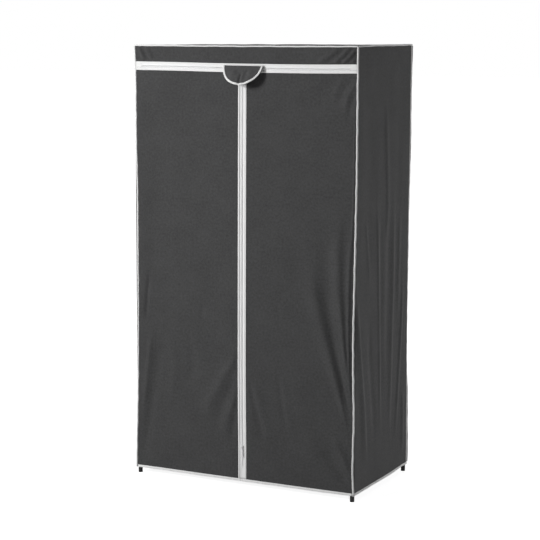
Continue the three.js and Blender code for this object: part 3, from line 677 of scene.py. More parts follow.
def make_mottle_group():
    """Slow and quick colour changes of dyed cloth or aged plastic, as a factor near 1."""
    detail, roughness, middle = 6.0, 0.68, 0.5
    tree, given, out = new_group(
        "mottle",
        [("Coordinate", "Vector", None), ("Broad", "Float", 9.0), ("Fine", "Float", 120.0),
         ("Broad Amount", "Float", 0.08), ("Fine Amount", "Float", 0.12)],
        ["Factor", "Fine Mask"],
    )
    changes = []
    for label in ("Broad", "Fine"):
        value = noise(tree, given.outputs["Coordinate"], given.outputs[label], detail, roughness)
        mask = maths(tree, "SUBTRACT", value, middle)
        change = maths(tree, "MULTIPLY", mask, given.outputs[f"{label} Amount"])
        changes.append(maths(tree, "MULTIPLY", change, 2.0))
    tree.links.new(maths(tree, "ADD", maths(tree, "ADD", *changes), 1.0), out.inputs["Factor"])
    tree.links.new(maths(tree, "ADD", mask, middle), out.inputs["Fine Mask"])


def make_wear_group():
    """Edges that handling has rubbed, as a mask, and the grain of the surface, as a height."""
    sharpness, patch_scale, patch_gain = 14.0, 160.0, 1.6
    tree, given, out = new_group(
        "rubbed_edges",
        [("Coordinate", "Vector", None), ("Edge", "Float", 0.53), ("Grain", "Float", 900.0)],
        ["Rubbed", "Height"],
    )
    geometry = tree.nodes.new("ShaderNodeNewGeometry")
    sharp = maths(tree, "SUBTRACT", geometry.outputs["Pointiness"], given.outputs["Edge"])
    sharp = maths(tree, "MULTIPLY", sharp, sharpness, clamp=True)
    patches = noise(tree, given.outputs["Coordinate"], patch_scale)
    broken = maths(tree, "MULTIPLY", patches, patch_gain, clamp=True)
    tree.links.new(maths(tree, "MULTIPLY", sharp, broken, clamp=True), out.inputs["Rubbed"])
    grain = tree.nodes.new("ShaderNodeTexVoronoi")
    tree.links.new(given.outputs["Coordinate"], grain.inputs["Vector"])
    tree.links.new(given.outputs["Grain"], grain.inputs["Scale"])
    tree.links.new(grain.outputs["Distance"], out.inputs["Height"])


def place_group(tree, name, coordinate, **values):
    node = tree.nodes.new("ShaderNodeGroup")
    node.node_tree = bpy.data.node_groups[name]
    tree.links.new(coordinate, node.inputs["Coordinate"])
    for label, value in values.items():
        node.inputs[label.replace("_", " ")].default_value = value
    return node


def new_material(name):
    material = bpy.data.materials.new(name)
    material.use_nodes = True
    tree = material.node_tree
    return material, tree, tree.nodes["Principled BSDF"]


def tinted(tree, colour, factor):
    """The colour times a factor that changes over the surface."""
    scaled = tree.nodes.new("ShaderNodeVectorMath")
    scaled.operation = "SCALE"
    scaled.inputs[0].default_value = tuple(colour)[:3]
    tree.links.new(factor, scaled.inputs["Scale"])
    return scaled.outputs[0]


def bumped(tree, shader, height, strength, distance):
    bump = tree.nodes.new("ShaderNodeBump")
    bump.inputs["Strength"].default_value = strength
    bump.inputs["Distance"].default_value = distance
    tree.links.new(height, bump.inputs["Height"])
    tree.links.new(bump.outputs[0], shader.inputs["Normal"])


def make_cloth_material(name, colour, threads, sheen, rough, gap_shade=0.12, broad=0.26, fine=0.6, bump=0.25):
    """Woven cloth on the piece's own surface, with the weave's threads per metre."""
    rough_gain, fuzz_height, depth = 0.12, 0.6, 0.3 * MM
    tree, shader = new_material(name)[1:]
    surface = tree.nodes.new("ShaderNodeUVMap")
    surface.uv_map = "surface"
    weave = place_group(tree, "plain_weave", surface.outputs[0], Threads=threads)
    mottle = place_group(tree, "mottle", surface.outputs[0], Broad_Amount=broad, Fine_Amount=fine)
    # Painted shade: the base colour is darker in the gaps between the threads.
    shade = maths(tree, "SUBTRACT", 1.0, maths(tree, "MULTIPLY", weave.outputs["Gaps"], gap_shade))
    factor = maths(tree, "MULTIPLY", shade, mottle.outputs["Factor"])
    tree.links.new(tinted(tree, colour, factor), shader.inputs["Base Color"])
    roughness = maths(tree, "MULTIPLY", weave.outputs["Gaps"], rough_gain)
    roughness = maths(tree, "ADD", roughness, rough - rough_gain / 3)
    tree.links.new(roughness, shader.inputs["Roughness"])
    shader.inputs["Sheen Weight"].default_value = sheen
    shader.inputs["Sheen Roughness"].default_value = 0.5
    shader.inputs["Specular IOR Level"].default_value = 0.3
    fuzz = maths(tree, "MULTIPLY", mottle.outputs["Fine Mask"], fuzz_height)
    bumped(tree, shader, maths(tree, "ADD", weave.outputs["Height"], fuzz), bump, depth)


def make_hard_material(name, colour, rough, rubbed, grain, metal=0.0, coat=0.0, specular=0.5):
    """Painted or moulded surface: grained, with edges that handling has rubbed to another colour."""
    rub_share, rough_gain, rub_polish, depth = 0.6, 0.14, 0.1, 0.1 * MM
    tree, shader = new_material(name)[1:]
    places = tree.nodes.new("ShaderNodeTexCoord").outputs["Object"]
    wear = place_group(tree, "rubbed_edges", places)
    mottle = place_group(tree, "mottle", places, Broad=14.0, Fine=420.0, Broad_Amount=0.08, Fine_Amount=0.08)
    mix = tree.nodes.new("ShaderNodeMix")
    mix.data_type = "RGBA"
    tree.links.new(maths(tree, "MULTIPLY", wear.outputs["Rubbed"], rub_share), mix.inputs["Factor"])
    tree.links.new(tinted(tree, colour, mottle.outputs["Factor"]), mix.inputs["A"])
    mix.inputs["B"].default_value = (*rubbed, 1)
    tree.links.new(mix.outputs["Result"], shader.inputs["Base Color"])
    roughness = maths(tree, "MULTIPLY", mottle.outputs["Fine Mask"], rough_gain)
    roughness = maths(tree, "ADD", roughness, rough - rough_gain / 2)
    polished = maths(tree, "MULTIPLY", wear.outputs["Rubbed"], rub_polish)
    tree.links.new(maths(tree, "SUBTRACT", roughness, polished, clamp=True), shader.inputs["Roughness"])
    shader.inputs["Metallic"].default_value = metal
    shader.inputs["Specular IOR Level"].default_value = specular
    shader.inputs["Coat Weight"].default_value = coat
    shader.inputs["Coat Roughness"].default_value = 0.2
    bumped(tree, shader, wear.outputs["Height"], grain, depth)


# Sizes and colours that a user would change.
COLOUR = {"subtype": "COLOR", "size": 3, "min": 0, "max": 1}


class WardrobeCloth(PropertyGroup):
    colour: FloatVectorProperty(
        name="Cloth colour", description="Colour of the dark cover cloth", default=(0.053, 0.053, 0.0537), **COLOUR)
    threads: FloatProperty(
        name="Threads per metre", description="How fine the cloth is woven", default=1100, min=200, max=4000)
    thickness: FloatProperty(
        name="Cloth thickness", description="Thickness of the cover cloth", unit="LENGTH",
        default=0.5 * MM, min=0.1 * MM, max=2 * MM)
    step: FloatProperty(
        name="Cloth step", description="Distance between the points of the cloth mesh", unit="LENGTH",
        default=7 * MM, min=3 * MM, max=30 * MM)


class WardrobeTrim(PropertyGroup):
    binding_colour: FloatVectorProperty(
        name="Binding colour", description="Colour of the piping, hem and flap binding",
        default=(0.90, 0.90, 0.895), **COLOUR)
    tape_colour: FloatVectorProperty(
        name="Tape colour", description="Colour of the woven zip tapes", default=(0.94, 0.94, 0.94), **COLOUR)
    zip_colour: FloatVectorProperty(
        name="Zip colour", description="Colour of the zip chains, sliders and tabs",
        default=(0.95, 0.95, 0.95), **COLOUR)
    tooth_pitch: FloatProperty(
        name="Tooth pitch", description="Distance between the teeth of a zip chain", unit="LENGTH",
        default=1.9 * MM, min=1 * MM, max=4 * MM)
    stitch_pitch: FloatProperty(
        name="Stitch pitch", description="Distance between stitches", unit="LENGTH",
        default=3.6 * MM, min=2 * MM, max=10 * MM)


class WardrobeFrame(PropertyGroup):
    steel_colour: FloatVectorProperty(
        name="Tube colour", description="Colour of the painted steel tubes", default=(0.03, 0.031, 0.033), **COLOUR)
    plastic_colour: FloatVectorProperty(
        name="Fitting colour", description="Colour of the moulded corner fittings",
        default=(0.006, 0.006, 0.006), **COLOUR)
    sides: IntProperty(
        name="Tube sides", description="Number of facets round a tube", default=40, min=12, max=96)


class WardrobeStudio(PropertyGroup):
    key_power: FloatProperty(
        name="Key light", description="Power of the light at the front left, in watts", default=137, min=0)
    side_power: FloatProperty(
        name="Side light", description="Power of the light at the right side, in watts", default=42.5, min=0)
    back_power: FloatProperty(
        name="Back light", description="Power of the light behind the wardrobe, in watts", default=30, min=0)
    sky: FloatProperty(
        name="Sky strength", description="Strength of the soft light from above", default=0.13, min=0)
    yaw: FloatProperty(
        name="Camera yaw", description="Turn of the camera to the object's right", subtype="ANGLE",
        default=math.radians(26.84))
    pitch: FloatProperty(
        name="Camera pitch", description="How far the camera looks down", subtype="ANGLE",
        default=math.radians(7.166))
    roll: FloatProperty(
        name="Camera roll", description="Turn of the camera about its line of sight", subtype="ANGLE",
        default=math.radians(0.184))
    lens: FloatProperty(
        name="Lens", description="Focal length in millimetres on a 36 mm sensor", default=108.90, min=20)
    shift: FloatProperty(
        name="Lens shift", description="How far the lens is shifted up, as a share of the picture", default=-0.05)


class WARDROBE_OT_materials(Operator):
    """Make the node groups and materials of the cloth, trim, zips and frame"""
    bl_idname = "wardrobe.make_materials"
    bl_label = "Materials"

    def execute(self, context):
        scene = context.scene
        cloth, trim, tubes = scene.wardrobe_cloth, scene.wardrobe_trim, scene.wardrobe_frame
        # The flap's cloth is painted 1.3 times lighter than the cover cloth: painted light for its upturned face,
        # which catches more light from above.
        flap_painted_light_colour = [c * 1.3 for c in cloth.colour]
        thread = [c * 1.05 for c in trim.binding_colour]
        make_weave_group()
        make_mottle_group()
        make_wear_group()
        make_cloth_material("cover_cloth", cloth.colour, cloth.threads, 0.02, 0.9)
        make_cloth_material("flap_cloth_painted_light", flap_painted_light_colour, cloth.threads, 0.02, 0.9)
        make_cloth_material(
            "white_binding", trim.binding_colour, 1500, 0.1, 0.85, gap_shade=0.1, broad=0.02, fine=0.03)
        make_cloth_material(
            "zip_tape", trim.tape_colour, 1300, 0.05, 0.85, gap_shade=0.08, broad=0.02, fine=0.04, bump=0.4)
        make_cloth_material("white_thread", thread, 5000, 0.1, 0.7, broad=0.0, fine=0.03)
        make_hard_material("zip_plastic", trim.zip_colour, 0.42, (0.85, 0.85, 0.85), 0.05, coat=0.1)
        make_hard_material("painted_steel", tubes.steel_colour, 0.42, (0.25, 0.25, 0.26), 0.1, metal=0.3, coat=0.35)
        make_hard_material("moulded_plastic", tubes.plastic_colour, 0.58, (0.03, 0.03, 0.03), 0.2, specular=0.2)
        return {"FINISHED"}


# Stops by the doors' seams, in millimetres, close enough for the narrow folds.
DOOR_EDGE_STOPS = [e * MM for e in (1, 2.2, 4, 6, 8, 10, 12, 14, 16, 18, 20.5, 23, 26, 29, 32, 36, 40, 44, 48)]
PANEL_EDGE_STOPS = [e * MM for e in (1, 2.2, 3.6, 5.2, 7.2, 10, 14)]


def bend_with_door(piece, side):
    """Bakes the piece's place into its mesh."""
    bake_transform(piece)


class WARDROBE_OT_doors(Operator):
    """Make the two cloth doors with their folds"""
    bl_idname = "wardrobe.make_doors"
    bl_label = "Cloth doors"

    def execute(self, context):
        cloth = context.scene.wardrobe_cloth
        for side in HANDS:
            node = f"door_panel_{side}"
            low, high = span(node)
            columns = stops(low[0], high[0], cloth.step, *DOOR_EDGE_STOPS)
            rows = stops(low[2], high[2], cloth.step, 2 * MM, 5 * MM)
            shape = sheet_shape(columns, rows, lambda x, z: front_place(x, z, front_lift(x, z)))
            bend_with_door(finish_cloth(shape, f"door_cloth_{side}", None, node, cloth.thickness), side)
        return {"FINISHED"}


def tuck_under_piping(points, x, y, z):
    """Carries a panel's upper edge up with the top edge, and a little under its piping."""
    reach = 0.05
    points[..., 2] += (EDGE_TUCK - top_edge_sag(x, y)) * smooth((z - PANEL_HEAD + reach) / reach)
    return points


def side_panel_place(y, z, side):
    points = side_place(y, z, side, side_lift(y, z, side))
    return tuck_under_piping(points, points[..., 0], y, z)


def back_panel_place(x, z):
    return tuck_under_piping(back_place(x, z, back_lift(x, z)), x, BACK_Y, z)


def band_place(x, z):
    tape_fade, seam_fade, rise_reach, tuck_reach, deepest = 0.007, 0.008, 0.045, 0.03, 1.9 * MM
    lift = fold_height(x, z, BAND_FOLDS) + waves(x + FRONT_NOISE, z, (0.5, 0.09, 0.05, 61))
    lift = lift * smooth((z - BAND_TAPE_HEAD) / tape_fade) * smooth((PANEL_HEAD + 2 * MM - z) / tape_fade)
    lift = lift * smooth((SIDE_X - np.abs(x) - PIPING_RADIUS) / seam_fade)
    points = front_place(x, z, np.maximum(lift, -deepest))
    points[..., 2] -= top_edge_sag(x, FRONT_Y) * smooth((z - BAND_TAPE_HEAD) / rise_reach)
    points[..., 2] += EDGE_TUCK * smooth((z - PANEL_HEAD + tuck_reach) / tuck_reach)
    return points


def top_panel_place(x, y):
    """The top cloth bulges a little over the rails, with small pulls and drags towards the corners."""
    bulge, edge_reach, pull, drag = 6.5 * MM, 0.05, 1.2, 1.4 * MM
    u, v = x / SIDE_X, (y - MIDDLE_Y) / HALF_DEPTH
    edge = np.minimum(SIDE_X - np.abs(x), HALF_DEPTH - np.abs(y - MIDDLE_Y))
    inside = smooth((edge - 0.016) / 0.09)
    belly = bulge * (1 - u**4) * (1 - v**4) * smooth((edge - 0.004) / edge_reach)
    pulls = waves(x + TOP_NOISE, y + TOP_NOISE, (pull, 0.08, 0.06, 71)) * smooth((edge - 0.02) / edge_reach)
    drags = drag * np.cos((np.abs(u) - np.abs(v)) * 22) * smooth((np.abs(u) + np.abs(v) - 1.0) / 0.5) * inside
    z = TOP_Z - top_edge_sag(x, y) * (1 - 0.5 * smooth(edge / 0.02)) + belly + pulls + drags * 0.6
    return np.stack(np.broadcast_arrays(x, y, z), -1)


class WARDROBE_OT_cover(Operator):
    """Make the top, back, side panels and the band above the doors"""
    bl_idname = "wardrobe.make_cover"
    bl_label = "Cover"

    def execute(self, context):
        cloth = context.scene.wardrobe_cloth
        plain, band_step, top_step = cloth.step, (5 * MM, 3.5 * MM), 9 * MM
        edge_rows = (2 * MM, 5 * MM)

        def panel(name, node, place, across, up, turned, steps, edge_columns, edge_rows):
            low, high = span(node)
            columns = stops(low[across], high[across], steps[0], *edge_columns)[::turned]
            rows = stops(low[up], high[up], steps[1], *edge_rows)
            finish_cloth(sheet_shape(columns, rows, place), name, BODY, node, cloth.thickness)

        for side, sign in HANDS.items():
            panel(f"side_cloth_{side}", f"side_panel_{side}", lambda y, z: side_panel_place(y, z, sign),
                  1, 2, sign, (plain, plain), PANEL_EDGE_STOPS, edge_rows)
        panel("back_cloth", "back_panel", back_panel_place, 0, 2, -1, (plain, plain), PANEL_EDGE_STOPS, edge_rows)
        panel("band_cloth", "front_band", band_place, 0, 2, 1, band_step, (2 * MM, 4 * MM), (1 * MM,))
        panel("top_cloth", "top_panel", top_panel_place, 0, 1, 1, (top_step, top_step), edge_rows, edge_rows)
        return {"FINISHED"}


def rounded_ring(radius, step):
    """Stations round the top edge of the cover, with a small round at each corner."""
    points = []
    for corner, start in zip(CORNERS, (180, 270, 0, 90)):
        sx, sy = (1 if "right" in corner else -1), (1 if "back" in corner else -1)
        middle_x, middle_y = sx * (SIDE_X - radius), (BACK_Y - radius if sy > 0 else FRONT_Y + radius)
        points += arc(middle_x, middle_y, radius, start, start + 90, 5)
    points.append(points[0])
    points = np.array(points)
    ring = [points[0]]
    for a, b in zip(points[:-1], points[1:]):
        count = max(1, int(np.linalg.norm(b - a) / step))
        ring += [a + (b - a) * k / count for k in range(1, count + 1)]
    return np.array(ring[:-1])


def arc(cx, cy, radius, start, end, steps):
    """Points on an arc about (cx, cy), with its angles in degrees."""
    angles = np.radians(np.linspace(start, end, steps))
    return [(cx + radius * math.cos(a), cy + radius * math.sin(a)) for a in angles]


# The strip of binding by each back corner: millimetres in front of the seam, and out of the cloth.
BACK_STRIP = ((2.4, 0.2), (3.0, 0.9), (5.5, 1.2), (8.4, 1.0), (9.2, 0.5), (9.2, 0.2))


class WARDROBE_OT_piping(Operator):
    """Make the piping down the corners and round the top edge"""
    bl_idname = "wardrobe.make_piping"
    bl_label = "Piping"

    def execute(self, context):
        pitch = context.scene.wardrobe_trim.stitch_pitch
        head_from, head_fade, drop_from, drop_fade = 1.5, 0.09, 0.5, 0.1
        for index, corner in enumerate(CORNERS):
            node = f"corner_piping_{corner}"
            low, high = span(node)
            seam, sy = SEAMS[corner], -1 if "front" in corner else 1
            sx = np.sign(seam[0])
            z = np.arange(low[2], high[2] + 2.6 * MM, 5 * MM)
            dx, dy = drift(corner, z)
            drop = hang(sx * SIDE_X, z) * smooth((drop_from - z) / drop_fade) if sy < 0 else 0
            head = top_edge_sag(seam[0], seam[1]) * smooth((z - head_from) / head_fade)
            path = np.stack([seam[0] + dx, seam[1] + dy, z - drop - head], -1)
            swell = PIPING_RADIUS * (1.04 + 0.05 * value_noise(z, z * 0 + 0.5, 0.035, 1, 80 + index))
            swell[[0, -1]] *= 0.8
            shape = Shape()
            add_tube(shape, path, swell, sides=16, up=(0, 1, 0))
            if sy > 0:
                rings = np.stack([side_place(BACK_Y - o * MM, z, sx, h * MM) for o, h in BACK_STRIP], 1)
                rings[..., 2] = path[:, None, 2]
                add_sweep(shape, rings, flip=sx < 0)
            for normal, turn in (((0.2 * sx, 0.98 * sy, 0), (sx, 0, 0)), ((0.98 * sx, 0.2 * sy, 0), (0, sy, 0))):
                row = path + np.array(normal) * PIPING_RADIUS * 0.98 - np.array(turn) * 1.3 * MM
                add_stitches(shape, row, normal, pitch)
            finish_piece(
                shape, f"corner_binding_{corner}", BODY, ["white_binding", "white_thread"], [node])

        ring = rounded_ring(3 * MM, 6 * MM)
        z = TOP_Z + PIPING_RADIUS - TOP_PIPING_RADIUS - top_edge_sag(ring[:, 0], ring[:, 1])
        z = z + 0.25 * MM * np.sin(ring[:, 0] * 83 + ring[:, 1] * 61)
        shape = Shape()
        add_tube(shape, np.column_stack([ring, z]), TOP_PIPING_RADIUS, sides=16, closed=True)
        finish_piece(shape, "top_edge_binding", BODY, ["white_binding"], ["top_piping"])
        return {"FINISHED"}


# The folded hem binding in section: millimetres outwards, then up from its foot.
HEM_SECTION = np.array([
    (-1.25, 6.2), (-0.75, 6.2), (-0.75, 1.1), (-0.45, 0.75), (0.1, 0.7), (0.35, 1.1), (0.3, 9.3), (0.62, 9.5),
    (0.9, 9.2), (1.0, 7.6), (0.85, 6.9), (1.15, 6.2), (1.3, 3.4), (1.2, 1.2), (0.75, 0.25), (-0.2, 0.0), (-1.0, 0.35),
]) * MM
HEM_STITCH = (1.32 * MM, 4.6 * MM)
HEM_WAVE_HEIGHT = 12 * MM


def hem_level(run, up, seed):
    """The height of a place on the hem, which waves a little along its run, most at its foot."""
    wave = waves(run, run * 0 + 0.5, (0.7, 0.045, 1, seed)) + 0.4 * MM * np.sin(run * 23 + seed)
    return HEM_FOOT + up + wave * (1 - up / HEM_WAVE_HEIGHT)


def make_hem(name, body, node, place, normals, pitch, flip):
    """A hem binding whose section is carried by place(out, up), with its row of stitches."""
    shape = Shape()
    add_sweep(shape, np.stack([place(out, up) for out, up in HEM_SECTION], 1), flip=flip)
    add_stitches(shape, place(*HEM_STITCH), normals, pitch)
    return finish_piece(shape, name, body, ["white_binding", "white_thread"], [node])


class WARDROBE_OT_hems(Operator):
    """Make the white binding along the lower edges"""
    bl_idname = "wardrobe.make_hems"
    bl_label = "Hems"

    def execute(self, context):
        pitch = context.scene.wardrobe_trim.stitch_pitch
        for side in HANDS:
            node = f"hem_binding_door_{side}"
            low, high = span(node)
            x = np.arange(low[0], high[0] + 0.1 * MM, (high[0] - low[0]) / 110)
            lift = front_lift(x, np.full_like(x, HEM_HEAD))
            hem = make_hem(f"hem_door_{side}", None, node,
                           lambda out, up: front_place(x, hem_level(x, up, 3), lift + out),
                           (0, -1, 0), pitch, True)
            bend_with_door(hem, side)

        bend, step, corner_reach = 3 * MM, 6 * MM, 0.02
        inner_x, inner_y = SIDE_X - bend, BACK_Y - bend
        ys = np.arange(span("hem_binding_cover")[0][1], inner_y, step)
        turn = [(math.cos(a), math.sin(a)) for a in np.radians(np.linspace(0, 90, 6))]
        stations = [(-SIDE_X, y, -1, 0) for y in ys]
        stations += [(-inner_x - bend * c, inner_y + bend * s, -c, s) for c, s in turn]
        stations += [(x, BACK_Y, 0, 1) for x in np.arange(-inner_x, inner_x, step)[1:]]
        stations += [(inner_x + bend * s, inner_y + bend * c, s, c) for c, s in turn]
        stations += [(SIDE_X, y, 1, 0) for y in ys[::-1]]
        stations = np.array(stations)
        run = run_along(stations[:, :2])
        level = np.full(len(stations), HEM_HEAD)
        x, y, nx, ny = stations.T
        on_side, on_back = np.abs(nx) > 0.99, ny > 0.99
        lift = np.where(on_side, side_lift(y, level, 1) * (nx > 0) + side_lift(y, level, -1) * (nx < 0), 0)
        lift = np.where(on_back, back_lift(x, level), lift)
        shift = np.zeros((len(stations), 2))
        for corner in CORNERS:
            dx, dy = drift(corner, level)
            near = np.exp(-np.hypot(x - SEAMS[corner][0], y - SEAMS[corner][1]) / corner_reach)
            shift += np.stack([dx * near, dy * near], -1)

        def place(out, up):
            z = hem_level(run, up, 6)
            z = z - side_hang(y - FRONT_Y, z, np.where(nx < -0.5, -1, 1))
            return np.stack([x + shift[:, 0] + nx * (lift + out), y + shift[:, 1] + ny * (lift + out), z], -1)

        normals = np.column_stack([nx, ny, 0 * nx])
        make_hem("hem_cover", BODY, "hem_binding_cover", place, normals, pitch, False)
        return {"FINISHED"}


# A tape in section, in millimetres from its outer or inner edge, and its height over the cloth.
BORDER_SECTION = ((0.0, 0.3), (0.0, 0.9), (0.5, 1.35), (1.6, 1.55), (4.8, 1.55), (5.9, 1.35), (6.4, 0.95))
INNER_SECTION = ((0.9, 0.85), (0.3, 0.85), (0.0, 0.6), (0.0, 0.3))
TAPE_HEIGHT, PATCH_HEIGHT, STITCH_HEIGHT = 0.85 * MM, 0.8 * MM, 1.56 * MM
# The upright borders lean: the left one stands up towards the chain, the right one falls away from it.
UPRIGHT_HEIGHTS = {"left": (0.9, 1.3, 1.7, 2.6, 2.6, 1.3, 0.6), "right": (0.9, 1.3, 0.95, 1.9, 2.2, 2.2, 2.0)}
BORDER_STITCHES = (1.4 * MM, 5.2 * MM)
TAPE_HALF, LEVEL_HALF, TAPE_STEP = 16.4 * MM, 15.5 * MM, 7 * MM
# Past the chain's ends a plain patch covers the tapes. Its stops are close.
PATCH_FROM = TOP_CHAIN_END + 0.3 * MM
TAPE_END = SIDE_X - PIPING_RADIUS - 0.3 * MM
PATCH_STEPS = np.concatenate([
    [PATCH_FROM, PATCH_FROM + 0.8 * MM], np.arange(PATCH_FROM + 2.5 * MM, TAPE_END - 1 * MM, 2 * MM), [TAPE_END],
])


def patched(section, x):
    """The section's heights at x. Past the chain's ends a plain patch covers the tape's inner part."""
    inner = (section[:, 1] < 0.9 * MM) & (section[:, 1] > 0.5 * MM)
    return section[:, 1] + PATCH_HEIGHT * inner * (abs(x) > PATCH_FROM + 0.5 * MM)


def tape_section(width):
    """Offsets from the outer edge and heights of a tape of that width, with its folded border."""
    outer = [(o * MM, h * MM) for o, h in BORDER_SECTION]
    middle = [(7.0 * MM, TAPE_HEIGHT), (min(11 * MM, width - 1.2 * MM), TAPE_HEIGHT)]
    inner = [(width - o * MM, h * MM) for o, h in INNER_SECTION]
    return np.array(outer + middle + inner)


def tape_shape(rings, widths, run, patches, flip=False):
    """A tape through its sections. Its border, and the patches at its ends, are of the binding."""
    rings = np.array(rings)
    count, sides = rings.shape[:2]
    marks = np.tile(np.arange(sides) >= len(BORDER_SECTION), (count - 1, 1)).astype(int)
    for patch in patches:
        marks[patch] = 0
    faces = grid_faces(count, sides, close_columns=True).tolist() + end_caps(count, sides)
    if flip:
        faces = [face[::-1] for face in faces]
    return Shape().add(rings, faces, marks.ravel().tolist() + [0, 0], spread_places(widths, run))


class WARDROBE_OT_tapes(Operator):
    """Make the woven zip tapes with their folded white borders"""
    bl_idname = "wardrobe.make_tapes"
    bl_label = "Zip tapes"

    def execute(self, context):
        pitch = context.scene.wardrobe_trim.stitch_pitch
        finish = ["white_binding", "zip_tape", "white_thread"]
        first_patch, last_patch = slice(None, len(PATCH_STEPS)), slice(-len(PATCH_STEPS), None)
        head_low = ZIP_Z - LEVEL_HALF
        flat = np.arange(TAPE_HALF + 2 * MM, PATCH_FROM - 26 * MM, TAPE_STEP)
        turning = np.arange(PATCH_FROM - 24 * MM, PATCH_FROM - 1 * MM, 2 * MM)
        for side, sign in HANDS.items():
            node = f"zip_tape_door_{side}"
            low, high = span(node)
            outer_x, inner_x = sign * TAPE_HALF, low[0] if side == "right" else high[0]
            level, upright = tape_section(high[2] - head_low), tape_section(abs(outer_x - inner_x))
            upright[1:8, 1] = np.array(UPRIGHT_HEIGHTS[side]) * MM
            zs = np.append(np.arange(low[2], head_low - 2 * MM, TAPE_STEP), head_low - 1 * MM)
            xs = sign * np.concatenate([flat, turning, PATCH_STEPS])
            across, up = outer_x - sign * upright[:, 0], head_low + level[:, 0]
            rings = [front_place(across, np.full(len(across), z), upright[:, 1]) for z in zs]
            rings.append(front_place(across, up, upright[:, 1]))
            rings += [front_place(np.full(len(up), x), up, patched(level, x)) for x in xs]
            run = run_along(np.array(rings)[:, 3])
            shape = tape_shape(rings, level[:, 0], run, [last_patch], flip=sign > 0)
            for offset in BORDER_STITCHES:
                top = np.interp(offset, upright[1:7, 0], upright[1:7, 1])
                row = [front_place(outer_x - sign * offset, z, top) for z in zs]
                row.append(front_place(outer_x - sign * offset, head_low + offset, top))
                row += [front_place(x, head_low + offset, STITCH_HEIGHT) for x in xs]
                add_stitches(shape, row, (0, -1, 0), pitch, mark=2)
            bend_with_door(finish_piece(shape, f"tape_door_{side}", None, finish, [node]), side)

        low, high = span("zip_tape_band")
        section = tape_section(high[2] - low[2])
        between = np.linspace(2 * MM - PATCH_FROM, PATCH_FROM - 2 * MM, 122)
        xs = np.concatenate([-PATCH_STEPS[::-1], between, PATCH_STEPS])
        up = high[2] - section[:, 0]
        rings = [front_place(np.full(len(up), x), up, patched(section, x)) for x in xs]
        shape = tape_shape(rings, section[:, 0], xs - xs[0], [first_patch, last_patch])
        for offset in BORDER_STITCHES:
            row = [front_place(x, high[2] - offset, STITCH_HEIGHT) for x in xs]
            add_stitches(shape, row, (0, -1, 0), pitch, mark=2)
        finish_piece(shape, "tape_band", BODY, finish, ["zip_tape_band"])
        return {"FINISHED"}


# A tooth, in millimetres: the place across it, its width and its height.
TOOTH_STEPS = ((0.0, 0.5, 0.35), (0.35, 1.0, 0.6), (1.4, 1.0, 0.95), (2.5, 0.95, 1.0), (3.0, 0.6, 0.75))
TOOTH_SIDES, TOOTH_REACH = 8, 2.8 * MM
# An end stop, in millimetres: the place along it and half its width.
STOP_STEPS = ((0, 2.2), (0.5, 2.8), (1.5, 2.9), (2.5, 2.8), (3.0, 2.2))
CHAIN_FLOOR, CORD_ACROSS, CORD_HEIGHT, CORD_RADIUS = 1.0 * MM, 1.9 * MM, 0.9 * MM, 0.75 * MM


def add_teeth(shape, along, base):
    """Adds two rows of coil teeth. base(across, along, out) gives a place in the row frame."""
    points = []
    for x, width, height in TOOTH_STEPS:
        for a in np.linspace(0, 2 * np.pi, TOOTH_SIDES, endpoint=False):
            points.append((x, width * 0.42 * math.cos(a), height * (1.1 + 0.95 * math.sin(a))))
    points = np.array(points) * MM
    count = len(TOOTH_STEPS)
    faces = repeated(grid_faces(count, TOOTH_SIDES, close_columns=True), len(along), len(points))
    caps = repeated(end_caps(count, TOOTH_SIDES), len(along), len(points))
    for hand in (-1, 1):
        spots = along + (0.5 * (along[1] - along[0]) if hand > 0 else 0)
        across = hand * (points[None, :, 0] - TOOTH_REACH)
        run = spots[:, None] + points[None, :, 1] + 0.12 * points[None, :, 0]
        out = np.broadcast_to(points[None, :, 2], run.shape)
        placed = base(np.broadcast_to(across, run.shape), run, out)
        turned = slice(None, None, -1 if hand > 0 else 1)
        shape.add(placed, faces[:, turned].tolist() + caps[:, turned].tolist())


def upright_place(across, z, out):
    return front_place(across + 0 * z, z, out + CHAIN_FLOOR)


def level_place(across, x, out):
    return front_place(x, ZIP_Z + across + 0 * x, out + CHAIN_FLOOR)


def make_chain(name, body, node, base, start, end, stop_places, pitch, up, flip):
    """A zip chain: its teeth, the two cords that they hold to, and its end stops."""
    shape = Shape()
    add_teeth(shape, np.arange(start + 3.5 * MM, end - 3 * MM, pitch), base)
    if flip:
        shape.faces = [face[::-1] for face in shape.faces]
    cord = np.arange(start, end, 6 * MM)
    for across in (-CORD_ACROSS, CORD_ACROSS):
        add_tube(shape, base(across, cord, CORD_HEIGHT), CORD_RADIUS, sides=8, up=up)
    for place in stop_places:
        rings = []
        for s, half in STOP_STEPS:
            section = [(-half, 0.3), (-half, 1.8), (-0.8 * half, 2.4), (0.8 * half, 2.4), (half, 1.8), (half, 0.3)]
            rings.append([base(a * MM, place + s * MM, b * MM) for a, b in section])
        add_sweep(shape, rings, flip=flip)
    finish_piece(shape, name, body, ["zip_plastic"], [node])


class WARDROBE_OT_chains(Operator):
    """Make the zip chains, tooth by tooth, with their end stops"""
    bl_idname = "wardrobe.make_chains"
    bl_label = "Zip chains"

    def execute(self, context):
        pitch = context.scene.wardrobe_trim.tooth_pitch
        make_chain("chain_door", "right_door", "zip_chain_door", upright_place,
                   CHAIN_FOOT, CHAIN_HEAD, [CHAIN_FOOT], pitch, (0, 1, 0), False)
        make_chain("chain_top", BODY, "zip_chain_top", level_place, TOP_CHAIN_START, TOP_CHAIN_END,
                   [TOP_CHAIN_START, TOP_CHAIN_END - 3 * MM], pitch, (0, 0, 1), True)
        return {"FINISHED"}


